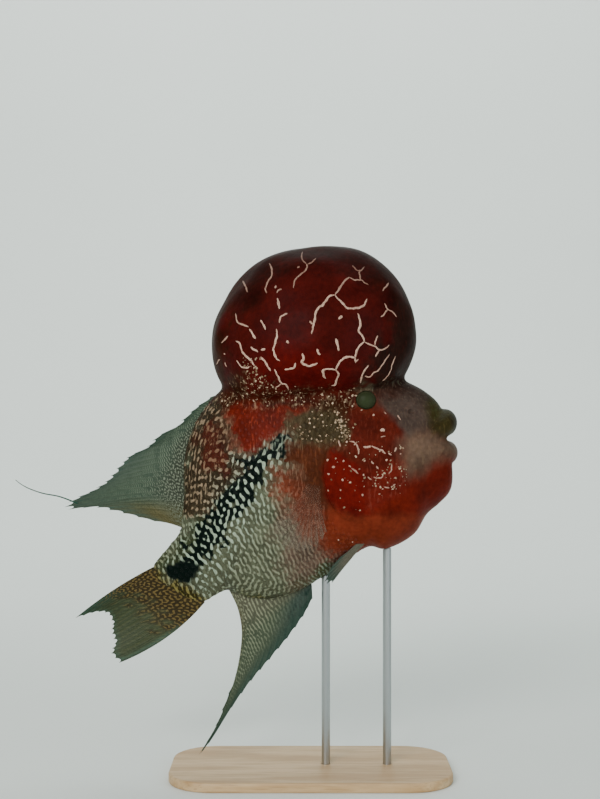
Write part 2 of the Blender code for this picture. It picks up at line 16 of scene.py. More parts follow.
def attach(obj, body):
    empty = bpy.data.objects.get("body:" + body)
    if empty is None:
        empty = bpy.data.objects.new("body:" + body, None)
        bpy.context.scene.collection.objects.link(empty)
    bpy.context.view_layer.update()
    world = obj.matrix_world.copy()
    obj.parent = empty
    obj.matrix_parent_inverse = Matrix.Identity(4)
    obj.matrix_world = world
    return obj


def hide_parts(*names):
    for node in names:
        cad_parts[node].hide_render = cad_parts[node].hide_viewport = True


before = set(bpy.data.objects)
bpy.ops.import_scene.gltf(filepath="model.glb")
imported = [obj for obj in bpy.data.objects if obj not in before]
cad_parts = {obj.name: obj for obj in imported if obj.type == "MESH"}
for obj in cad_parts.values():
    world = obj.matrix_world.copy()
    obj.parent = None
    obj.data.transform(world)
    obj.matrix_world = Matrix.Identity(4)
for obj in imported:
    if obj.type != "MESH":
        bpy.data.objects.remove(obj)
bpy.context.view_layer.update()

MM = 0.001
SKIN_VOXEL = 0.8  # size of the skin's mesh
COAT = 0.4  # the bare skin lies this far inside the scaled body
CLAY_LOW, CLAY_HIGH = (-102, -54, 92), (92, 54, 318)  # corners of the grid that the skin is worked out on

# Body sections from tail to snout: top (x, z), bottom (x, z), half width, lens
STATIONS = (
    ((-95.2, 115.4), (-66.8, 98.0), 1.7, 0.9),
    ((-92.5, 123.0), (-60.5, 101.0), 4.2, 1.0),
    ((-85.0, 132.0), (-55.0, 104.5), 7.6, 1.1),
    ((-77.0, 143.5), (-48.0, 107.0), 11.0, 1.15),
    ((-75.5, 161.5), (-36.0, 103.0), 16.0, 1.2),
    ((-75.5, 179.5), (-21.0, 102.5), 20.5, 1.2),
    ((-72.5, 196.0), (-7.0, 107.0), 24.5, 1.2),
    ((-65.0, 211.5), (4.5, 113.5), 27.5, 1.15),
    ((-53.0, 225.5), (16.0, 120.5), 29.5, 1.1),
    ((-36.0, 233.5), (27.0, 129.0), 31.0, 1.05),
    ((-14.0, 237.5), (35.0, 133.0), 32.5, 1.0),
    ((9.0, 238.5), (43.0, 131.5), 33.5, 1.0),
    ((31.0, 237.0), (53.0, 135.0), 33.0, 1.0),
    ((48.0, 233.5), (62.0, 141.5), 30.5, 1.0),
    ((59.0, 229.5), (68.5, 152.0), 27.0, 1.0),
    ((67.5, 224.8), (75.7, 158.3), 23.0, 1.0),
    ((74.4, 218.9), (82.0, 165.3), 18.5, 1.0),
    ((77.6, 213.0), (83.6, 173.8), 14.0, 0.95),
    ((78.8, 207.3), (82.0, 182.3), 9.0, 0.9),
)
LAST_STATION = len(STATIONS) - 1
TAIL_SWING, SWING_FROM, SWING_TO = 9.0, -5.0, -100.0

HUMP_CENTRE = (2.4, 250.6)
HUMP_RADII = (59.2, 62.8, 62.6, 60.2, 58.9, 59.8, 60.8, 57.0, 39.5, 32.5, 35.5, 51.0)
HUMP_HALF_WIDTH, HUMP_REACH = 46.0, 60.0
HUMP_LUMP, HUMP_RIPPLE, HUMP_RIPPLE_LENGTH = 0.7, 0.22, 22.0

EYE_CENTRE, EYE_RADIUS, EYE_STAND_OUT = (31.3, 218.9), 6.6, 2.2
EYE_FLAT = 0.8  # depth of the eyeball as a share of its width
LID = 0.8  # how far the skin closes in over the eyeball's edge
UPPER_LIP = {"front": (79.0, 206.2), "corner": (67.0, 199.6), "front_r": (7.4, 8.4), "corner_r": (3.6, 3.0)}
LOWER_LIP = {"front": (79.6, 188.6), "corner": (67.0, 192.8), "front_r": (7.2, 7.6), "corner_r": (3.4, 3.0)}
LIP_HALF_WIDTH = 20.5
NOSTRIL_PLACE = (57.5, 212.8)
NOSTRIL_RIM, NOSTRIL_HOLE = (3.0, 2.2, 2.4), (1.5, 2.2, 1.2)
SOCKET = (8.2, 5.6, 8.2)
MOUTH_PLACE, MOUTH_SLOT = (83.0, 0, 197.2), (11.0, 17.0, 1.5)
COVER_CENTRE, COVER_LEAN = (31.0, 176.3), math.radians(12)
COVER_HALF_LENGTH, COVER_HALF_HEIGHT, COVER_FRONT_SHARE = 24.0, 31.0, 0.55
COVER_RISE = 2.5

# Midline fins. After the sizes of the solids come the grid's columns to a ray and its rows, the share of a
# ray at which it forks, how ragged the margin is in front and behind, and the wavelength of the pale marks.
DORSAL = {
    "edge": "top",
    "base": (8.05, 3.15),
    "margin": (
        (-60.0, 220.8), (-73.5, 210.8), (-82.5, 201.5), (-92.0, 197.5), (-99.2, 190.2), (-108.0, 186.2),
        (-114.5, 180.4), (-121.6, 171.8), (-131.0, 165.2), (-143.5, 159.4), (-145.8, 154.2), (-128.5, 155.6),
        (-112.5, 152.4), (-93.0, 147.6),
    ),
    "bow": (0.5, 1.0, 1.5, 2.5, 1.0),
    "rays": 28,
    "root": 2.0,
    "wave": (3.0, 1.6, 0.4),
    "columns": 9,
    "rows": 90,
    "forks_at": 0.5,
    "ragged": (2.8, 1.0),
    "weave": 1.8,
}
ANAL = {
    "edge": "bottom",
    "base": (6.85, 3.1),
    "margin": (
        (1.2, 102.2), (-4.8, 91.0), (-14.8, 77.6), (-26.0, 64.5), (-37.5, 51.0), (-49.5, 34.0),
        (-59.5, 18.0), (-67.0, 8.5), (-57.0, 25.5), (-49.0, 45.5),
    ),
    "bow": (0.0, -0.5, -3.0, -8.5, -10.0),
    "rays": 20,
    "root": 2.0,
    "wave": (4.0, 1.3, 2.2),
    "columns": 9,
    "rows": 120,
    "forks_at": 0.45,
    "ragged": (0.7, 0.7),
    "weave": 2.16,
}
CAUDAL = {
    "root_line": ((-93.5, 120.0), (-62.5, 100.0)),
    "margin": (
        (-140.3, 89.2), (-130.0, 92.2), (-122.0, 92.0), (-118.6, 86.5), (-118.8, 81.0), (-116.8, 75.0),
        (-118.6, 69.3), (-113.6, 63.6),
    ),
    "bow": (1.7, 0.8, -1.0, -4.2),
    "rays": 16,
    "root": 3.2,
    "wave": (3.5, 1.4, 0.0),
    "columns": 12,
    "rows": 90,
    "forks_at": 0.35,
    "ragged": (0.45, 0.45),
    "weave": 2.4,
}
SUNK = 4.0  # how deep a fin's root sits in the body
NOTCH = 0.07  # how far a margin draws in between rays, as a share of the fin's length
THREAD = (
    (-138.0, 158.0), (-148.5, 162.0), (-158.5, 164.0), (-166.0, 166.5), (-171.0, 169.0), (-175.0, 172.0),
)
PECTORAL = {
    "root": (2.0, 173.0), "along": (-0.26, -0.16, -0.95), "across": (-0.95, 0.0, 0.25), "length": 42.0,
    "tuck": 3.5, "root_width": 7.0, "spread": math.radians(23), "rays": 11, "curl": 2.0, "lean": -0.05,
}
PELVIC = {
    "root": (28.0, 135.5), "along": (-0.68, -0.06, -0.73), "across": (-0.60, -0.60, 0.53), "length": 28.0,
    "tuck": 0.0, "root_width": 4.0, "spread": math.radians(7), "rays": 6, "curl": -1.5, "lean": 0.25,
}
PELVIC_SIDE = 11.5

# Camera: level, 0.8 m from the fish's middle plane
CAMERA = (-6.2, -800.0, 219.7)
CAMERA_LENS, CAMERA_SENSOR = 61.28, 36.0

# Where the photograph shows the middle plane: the pixels of x = 0 and of z = 0, and pixels to a millimetre
PHOTO_MIDDLE, PHOTO_GROUND, PHOTO_STEP = 310.0, 773.0, 1.7

# Pearl lines of the right side: each is its width in millimetres and its bends in pixels, as they were read.
# One place alone is a dot. The left side gets the hump's lines mirrored fore and aft with a shift.
HUMP_PEARLS = (
    (1.2, (242, 281), (245, 286), (247, 292)),
    (1.3, (269, 263), (271, 270), (271, 276), (268, 281), (265, 288), (266, 293)),
    (1.1, (281, 289), (278, 290), (276, 293)),
    (1.5, (277, 298), (278, 304), (279, 309)),
    (1.3, (287, 313), (283, 315), (280, 317), (279, 323)),
    (1.3, (260, 320), (263, 325), (265, 330)),
    (1.2, (235, 313), (236, 320), (238, 323), (243, 325), (248, 327)),
    (1.6, (249, 329), (252, 334), (255, 339)),
    (1.2, (227, 336), (224, 340), (221, 343)),
    (1.4, (235, 341), (239, 343), (241, 350), (244, 355), (250, 360), (254, 366)),
    (1.3, (250, 347), (254, 350), (258, 352)),
    (1.3, (260, 350), (265, 349)),
    (1.4, (260, 357), (264, 361), (267, 366), (270, 371)),
    (1.4, (276, 329), (276, 337), (274, 345), (273, 350), (275, 357), (279, 361)),
    (1.5, (295, 363), (293, 368), (288, 369), (284, 370)),
    (1.3, (274, 369), (277, 376), (281, 383), (286, 385), (288, 390)),
    (1.0, (280, 384), (275, 388)),
    (1.3, (236, 360), (239, 365), (244, 368), (249, 367)),
    (1.1, (224, 362), (226, 367)),
    (1.1, (219, 359), (216, 364)),
    (1.6, (302, 353), (303, 358), (302, 363), (309, 366), (317, 363)),
    (1.0, (302, 252), (301, 257), (303, 261), (306, 264)),
    (1.1, (315, 258), (312, 262), (307, 264)),
    (1.2, (306, 264), (306, 269), (302, 273), (297, 277), (294, 281), (293, 288)),
    (1.5, (311, 334), (312, 328), (314, 321), (315, 314), (317, 309), (322, 305), (326, 300), (329, 296),
     (334, 295)),
    (1.1, (309, 321), (312, 324)),
    (1.3, (334, 295), (338, 290), (342, 284), (345, 280), (349, 277)),
    (1.1, (349, 277), (354, 280), (360, 280), (363, 282), (368, 285)),
    (1.1, (360, 280), (359, 274), (359, 270)),
    (1.0, (352, 265), (354, 268), (359, 271), (364, 267)),
    (1.5, (334, 295), (339, 300), (343, 304), (347, 308), (357, 308), (362, 306), (365, 303), (366, 299)),
    (1.7, (338, 319), (342, 316)),
    (1.6, (335, 339), (337, 344), (338, 351)),
    (1.7, (317, 349), (318, 353), (320, 355)),
    (1.4, (357, 313), (359, 319), (360, 325), (358, 331), (362, 336), (364, 342)),
    (1.4, (364, 342), (360, 345), (357, 349), (355, 355), (355, 358)),
    (1.6, (355, 358), (347, 357), (341, 360), (338, 364), (335, 370)),
    (1.5, (335, 370), (329, 369), (323, 370), (323, 375), (325, 379)),
    (1.4, (335, 370), (338, 374), (336, 380), (335, 384), (331, 386)),
    (1.2, (355, 358), (355, 363)),
    (1.0, (355, 362), (358, 359)),
    (1.2, (364, 342), (370, 345), (374, 346), (379, 350), (384, 349), (389, 345)),
    (1.1, (374, 345), (377, 335)),
    (1.1, (379, 350), (377, 353), (375, 357)),
    (1.0, (389, 354), (383, 363), (378, 370), (373, 373), (369, 377), (364, 376)),
    (1.2, (368, 365), (364, 371), (361, 377), (360, 383)),
    (0.9, (395, 356), (392, 363), (390, 371), (386, 377), (382, 381)),
    (1.1, (388, 283), (385, 287), (382, 291)),
    (1.0, (384, 303), (387, 309), (393, 313), (396, 317)),
    (1.1, (387, 309), (384, 314), (380, 317)),
    (1.7, (275, 287)),
    (1.5, (298, 267)),
    (1.9, (287, 342)),
    (1.2, (224, 354)),
)
CHEEK_PEARLS = (
    (1.3, (363, 447), (367, 447), (371, 446)),
    (1.2, (371, 446), (378, 449), (382, 451), (385, 454)),
    (1.4, (345, 442), (347, 441)),
    (1.1, (349, 441), (353, 442), (355, 444), (357, 447), (358, 451), (358, 454)),
    (1.1, (338, 440), (339, 444), (340, 447)),
    (1.2, (396, 447), (394, 452)),
    (1.2, (388, 453), (391, 455)),
    (1.3, (371, 461), (373, 464)),
    (1.2, (376, 466), (378, 469)),
    (0.9, (380, 437), (385, 436)),
    (1.0, (397, 415), (400, 420)),
    (0.8, (383, 412), (386, 414)),
    (1.0, (351, 468), (355, 471), (358, 474)),
    (1.0, (367, 477), (371, 480)),
    (0.9, (373, 477), (376, 478), (380, 478), (383, 475)),
    (0.9, (391, 463), (391, 470), (388, 474)),
    (1.0, (392, 486), (395, 484)),
    (1.1, (384, 487), (389, 488)),
    (2.6, (382, 430)),
    (1.5, (373, 415)),
    (1.1, (361, 410)),
    (1.1, (400, 454)),
    (1.5, (386, 460)),
    (1.2, (364, 461)),
    (1.5, (327, 460)),
    (1.7, (333, 467)),
    (1.4, (328, 474)),
    (1.5, (342, 480)),
    (1.3, (343, 461)),
    (1.2, (349, 466)),
    (1.3, (363, 475)),
    (1.0, (359, 469)),
    (1.2, (340, 490)),
    (1.5, (362, 495)),
    (1.1, (379, 494)),
    (1.0, (382, 489)),
    (0.9, (398, 467)),
    (1.2, (338, 540)),
    (1.1, (352, 542)),
    (0.9, (394, 478)),
)

PATCH = 0.003  # side of the piece of the unwrap that one scale or pearl takes
MESHES = []  # every piece made here, so that each rides on the root body at the end


def srgb(text):
    """A colour written as on paper, in the numbers that light adds up in."""
    parts = [int(text[k:k + 2], 16) / 255 for k in (0, 2, 4)]
    return np.array([c / 12.92 if c < 0.04045 else ((c + 0.055) / 1.055) ** 2.4 for c in parts])


def through(points, at):
    """Catmull-Rom curve through evenly numbered points, read at the numbers in at."""
    knots = np.asarray(points, float).reshape(len(points), -1)
    at = np.clip(np.asarray(at, float).reshape(-1), 0, len(knots) - 1)
    low = np.minimum(at.astype(int), len(knots) - 2)
    t = (at - low)[:, None]
    ends = np.vstack([2 * knots[0] - knots[1], knots, 2 * knots[-1] - knots[-2]])
    before, start, end, after = (ends[low + k] for k in range(4))
    return 0.5 * (
        2 * start
        + (end - before) * t
        + (2 * before - 5 * start + 4 * end - after) * t**2
        + (3 * start - before - 3 * end + after) * t**3
    )


def evenly(points, share):
    return through(points, np.asarray(share, float) * (len(points) - 1))


def ease(x, start, end):
    t = np.clip((np.asarray(x, float) - start) / (end - start), 0, 1)
    return t * t * (3 - 2 * t)


def read_off(*pixels):
    """Places read off the photograph, as (x, z) in millimetres on the fish's middle plane."""
    return tuple(((x - PHOTO_MIDDLE) / PHOTO_STEP, (PHOTO_GROUND - y) / PHOTO_STEP) for x, y in pixels)


def swung(points):
    points = np.array(points, float)
    points[..., 1] += TAIL_SWING * ease(points[..., 0], SWING_FROM, SWING_TO) ** 2
    return points


def mix(a, b, share):
    return a + (b - a) * share


def ripples(points, wavelength, seed, count=22):
    """A smooth random field of one wavelength. Over some level it reads as dots and worms."""
    rng = np.random.default_rng(seed)
    points = np.asarray(points, float)
    total = np.zeros(len(points))
    for _ in range(count):
        if points.shape[1] == 3:
            direction = rng.normal(size=3)
            direction /= np.linalg.norm(direction)
        else:
            angle = math.radians(rng.uniform(-180, 180))
            direction = np.array([math.cos(angle), math.sin(angle)])
        size = 2 * math.pi / (wavelength * rng.uniform(0.88, 1.14))
        total += np.cos(points @ (direction * size) + rng.uniform(0, 2 * math.pi))
    return total / math.sqrt(count / 2)


def new_mesh(name, points, faces):
    """A mesh object in metres, from points in millimetres."""
    mesh = bpy.data.meshes.new(name)
    points = np.asarray(points, float) * MM
    faces = np.asarray(faces, dtype=np.int32)
    mesh.vertices.add(len(points))
    mesh.vertices.foreach_set("co", points.astype(np.float32).ravel())
    corners = faces.shape[1]
    mesh.loops.add(faces.size)
    mesh.loops.foreach_set("vertex_index", faces.ravel())
    mesh.polygons.add(len(faces))
    mesh.polygons.foreach_set("loop_start", np.arange(0, faces.size, corners, dtype=np.int32))
    mesh.update(calc_edges=True)
    mesh.validate()
    mesh.shade_smooth()
    obj = bpy.data.objects.new(name, mesh)
    bpy.context.scene.collection.objects.link(obj)
    MESHES.append(obj)
    return obj


def put(mesh, name, values):
    """Stores one number or one colour per point."""
    values = np.asarray(values, np.float32)
    if values.ndim == 1:
        layer = mesh.attributes.new(name, "FLOAT", "POINT")
        layer.data.foreach_set("value", values)
    else:
        layer = mesh.attributes.new(name, "FLOAT_VECTOR", "POINT")
        layer.data.foreach_set("vector", values.ravel())


def bake_map(mesh, coordinates):
    """The unwrap that each small piece takes its patch from."""
    layer = mesh.uv_layers.new(name="OFBake")
    corner = np.empty(len(mesh.loops), np.int32)
    mesh.loops.foreach_get("vertex_index", corner)
    layer.data.foreach_set("uv", np.asarray(coordinates, np.float32)[corner].ravel())


# Body forms


def section(at):
    at = np.atleast_1d(at)
    top = through([s[0] for s in STATIONS], at)
    bottom = through([s[1] for s in STATIONS], at)
    half = through([[s[2]] for s in STATIONS], at)[:, 0]
    lens = through([[s[3]] for s in STATIONS], at)[:, 0]
    return top, bottom, half, lens


def body_points(at, angle):
    """Points of the body's surface at station numbers and angles from the back, both as arrays."""
    top, bottom, half, lens = section(at)
    middle, up = (top + bottom) / 2, (top - bottom) / 2
    side = half * np.sign(np.sin(angle)) * np.abs(np.sin(angle)) ** lens
    plane = middle + np.cos(angle)[:, None] * up
    return swung(np.column_stack([plane[:, 0], side, plane[:, 1]]))


def tube_triangles(rings, spokes, first_cap, last_cap):
    """Triangles along a tube of rings, and fans to its two cap points."""
    r, k = np.meshgrid(np.arange(rings - 1), np.arange(spokes), indexing="ij")
    a = (r * spokes + k).ravel()
    b = (r * spokes + (k + 1) % spokes).ravel()
    wall = np.vstack([np.column_stack([a, b, b + spokes]), np.column_stack([a, b + spokes, a + spokes])])
    k = np.arange(spokes)
    last = (rings - 1) * spokes
    first_fan = np.column_stack([np.full(spokes, first_cap), (k + 1) % spokes, k])
    last_fan = np.column_stack([np.full(spokes, last_cap), last + k, last + (k + 1) % spokes])
    return np.vstack([wall, first_fan, last_fan])


def body_solid(rings=180, spokes=120):
    at = np.repeat(np.linspace(0, LAST_STATION, rings), spokes)
    angle = np.tile(np.arange(spokes) * 2 * math.pi / spokes, rings)
    points = body_points(at, angle)
    first, last = points[:spokes].mean(axis=0), points[-spokes:].mean(axis=0) + (1.5, 0, 0)
    count = len(points)
    return np.vstack([points, first, last]), tube_triangles(rings, spokes, count, count + 1)


def lumpy(direction):
    """Low swellings of the hump, in millimetres."""
    x, y, z = direction.T
    waves = np.sin(5.1 * x + 1.3) * np.sin(4.3 * z + 0.6)
    waves = waves + 0.7 * np.sin(7.0 * y + 3.1 * z) * np.sin(6.2 * x - 1.0)
    return HUMP_LUMP * waves + HUMP_RIPPLE * ripples(direction * HUMP_REACH, HUMP_RIPPLE_LENGTH, 5)


def hump_solid(rings=90, spokes=120):
    tilt = np.repeat(math.pi * np.arange(1, rings) / rings, spokes)
    turn = np.tile(2 * math.pi * np.arange(spokes) / spokes, rings - 1)
    way = np.column_stack([np.cos(tilt), np.sin(tilt) * np.sin(turn), np.sin(tilt) * np.cos(turn)])
    way = np.vstack([way, (1, 0, 0), (-1, 0, 0)])
    degrees = np.degrees(np.arctan2(way[:, 2], way[:, 0])) % 360
    again = np.concatenate([HUMP_RADII[-1:], HUMP_RADII, HUMP_RADII[:2]])
    reach = through(again, 1 + degrees / 30)[:, 0]
    sizes = np.column_stack([reach, np.full(len(way), HUMP_HALF_WIDTH), reach])
    shape = way * (sizes + lumpy(way)[:, None]) + (HUMP_CENTRE[0], 0, HUMP_CENTRE[1])
    count = (rings - 1) * spokes
    return swung(shape), tube_triangles(rings - 1, spokes, count, count + 1)


def lip_solid(sizes, rings=81, spokes=40):
    loops = []
    angle = np.arange(spokes) * 2 * math.pi / spokes
    for i in range(rings):
        share = 2 * i / (rings - 1) - 1
        front = max(math.cos(share * math.pi / 2), 0.0) ** 0.8
        corner, middle = np.array(sizes["corner"]), np.array(sizes["front"])
        x, z = corner + (middle - corner) * front
        thick = np.array(sizes["corner_r"]) + (np.array(sizes["front_r"]) - sizes["corner_r"]) * front
        along = np.array([-math.sin(share * math.pi / 2) * 0.8, math.cos(share * math.pi / 2)])
        along /= np.linalg.norm(along)
        out = np.array([along[1], -along[0]])
        loops.append(np.column_stack([
            x + out[0] * thick[0] * np.cos(angle),
            LIP_HALF_WIDTH * math.sin(share * math.pi / 2) + out[1] * thick[0] * np.cos(angle),
            z + thick[1] * np.sin(angle),
        ]))
    points = np.vstack([*loops, loops[0].mean(axis=0), loops[-1].mean(axis=0)])
    count = rings * spokes
    return points, tube_triangles(rings, spokes, count, count + 1)


def ball_solid(centre, radii, rings=24, spokes=36):
    tilt = np.repeat(math.pi * np.arange(1, rings) / rings, spokes)
    turn = np.tile(2 * math.pi * np.arange(spokes) / spokes, rings - 1)
    way = np.column_stack([np.sin(tilt) * np.cos(turn), np.sin(tilt) * np.sin(turn), np.cos(tilt)])
    way = np.vstack([way, (0, 0, 1), (0, 0, -1)])
    count = (rings - 1) * spokes
    return way * np.asarray(radii) + np.asarray(centre), tube_triangles(rings - 1, spokes, count, count + 1)


class Clay:
    """A field of distances on a grid, built up from closed shapes and then turned into one smooth skin."""

    def __init__(self, low, high, voxel, band=10):
        self.voxel, self.band = voxel, band
        self.first = np.floor(np.array(low) / voxel).astype(int)
        self.shape = tuple(np.ceil(np.array(high) / voxel).astype(int) - self.first)
        self.field = None
        self.transform = vdb.createLinearTransform(voxelSize=voxel)

    def distances(self, solid):
        points, triangles = solid
        grid = vdb.FloatGrid.createLevelSetFromPolygons(
            np.asarray(points, np.float32), triangles=np.asarray(triangles, np.uint32),
            transform=self.transform, halfWidth=self.band,
        )
        array = np.full(self.shape, grid.background, np.float32)
        grid.copyToArray(array, ijk=tuple(int(v) for v in self.first))
        return array

    def add(self, solid, soft):
        new = self.distances(solid)
        if self.field is None:
            self.field = new
            return
        share = np.clip(0.5 + 0.5 * (new - self.field) / soft, 0, 1)
        self.field = mix(new, self.field, share) - soft * share * (1 - share)

    def carve(self, solid, soft):
        new = -self.distances(solid)
        share = np.clip(0.5 - 0.5 * (new - self.field) / soft, 0, 1)
        self.field = mix(new, self.field, share) + soft * share * (1 - share)

    def skin(self, depth):
        grid = vdb.FloatGrid(self.band * self.voxel)
        grid.transform = self.transform
        grid.copyFromArray(self.field.astype(np.float32), ijk=tuple(int(v) for v in self.first))
        points, quads = grid.convertToQuads(-depth)
        return np.asarray(points, float), np.asarray(quads, np.int64)


def tree_of(points, faces):
    return BVHTree.FromPolygons([tuple(p) for p in points], [tuple(int(v) for v in f) for f in faces])


def side_point(tree, x, z, side):
    hit, normal, _, _ = tree.ray_cast(Vector((x, side * 200.0, z)), Vector((0, -side, 0)))
    if hit is None:
        return None, None
    if normal.y * side < 0:
        normal = -normal
    return np.array(hit), np.array(normal)


def eye_centre(hit, side):
    """The middle of an eyeball, from the point of the body's side that it looks out of."""
    return hit + (0, side * (EYE_STAND_OUT - EYE_RADIUS * EYE_FLAT), 0)


def cover_solid(tree, side, rings=16, spokes=64):
    """The gill cover: flush in front, raised towards its free hind edge."""
    inner, outer = [], []
    for r in range(rings + 1):
        share = r / rings
        for k in range(spokes if r else 1):
            angle = 2 * math.pi * k / spokes
            along, up = math.cos(angle) * share, math.sin(angle) * share
            x = COVER_HALF_LENGTH * along * (COVER_FRONT_SHARE if along > 0 else 1)
            z = COVER_HALF_HEIGHT * up
            turn_x = x * math.cos(COVER_LEAN) - z * math.sin(COVER_LEAN)
            turn_z = x * math.sin(COVER_LEAN) + z * math.cos(COVER_LEAN)
            hit, normal = side_point(tree, COVER_CENTRE[0] + turn_x, COVER_CENTRE[1] + turn_z, side)
            raised = COVER_RISE * max(0.0, -along) ** 1.3 * (1 - 0.35 * abs(up))
            inner.append(hit - normal * 3.0)
            outer.append(hit + normal * (raised - 0.35))
    count = len(inner)
    faces = []
    for layer in (0, count):
        faces += [(layer, layer + 1 + k, layer + 1 + (k + 1) % spokes) for k in range(spokes)]
        for r in range(rings - 1):
            start = layer + 1 + r * spokes
            for k in range(spokes):
                a, b = start + k, start + (k + 1) % spokes
                faces += [(a, b, b + spokes), (a, b + spokes, a + spokes)]
    rim = 1 + (rings - 1) * spokes
    for k in range(spokes):
        a, b = rim + k, rim + (k + 1) % spokes
        faces += [(a, b, b + count), (a, b + count, a + count)]
    return np.array(inner + outer), np.array(faces)


def sculpt():
    """The whole skin as one closed surface. The second number of each step is how soft its joint is."""
    clay = Clay(CLAY_LOW, CLAY_HIGH, SKIN_VOXEL)
    flesh = body_solid()
    tree = tree_of(*flesh)
    clay.add(flesh, 1.0)
    for side in (-1, 1):
        clay.add(cover_solid(tree, side), 0.7)
    clay.add(hump_solid(), 5.0)
    clay.add(lip_solid(UPPER_LIP), 2.2)
    clay.add(lip_solid(LOWER_LIP), 2.0)
    clay.carve(ball_solid(MOUTH_PLACE, MOUTH_SLOT), 0.8)
    for side in (-1, 1):
        hit, _ = side_point(tree, *EYE_CENTRE, side)
        centre = eye_centre(hit, side)
        clay.add(ball_solid(centre - (0, side * 0.4, 0), SOCKET), 2.5)
        clay.carve(ball_solid(centre, (EYE_RADIUS - LID, EYE_RADIUS, EYE_RADIUS - LID)), 0.8)
        hit, _ = side_point(tree, *NOSTRIL_PLACE, side)
        clay.add(ball_solid(hit - (0, side * 1.4, 0), NOSTRIL_RIM), 1.5)
        clay.carve(ball_solid(hit + (0, side * 0.4, 0), NOSTRIL_HOLE), 0.6)
    return clay.skin(COAT)


# Colours and markings

FLANK = ("5b5f4b", "99a085")
# The dark strip full of small pearls between the hump and the nape
FOOT = read_off(
        (216, 398), (222, 392), (228, 382), (236, 377), (248, 374), (262, 374), (272, 382), (284, 388),
        (302, 386), (318, 388), (332, 384), (350, 386), (358, 388), (356, 404), (345, 412), (330, 410),
        (312, 402), (296, 406), (276, 408), (256, 402), (240, 406), (222, 406))
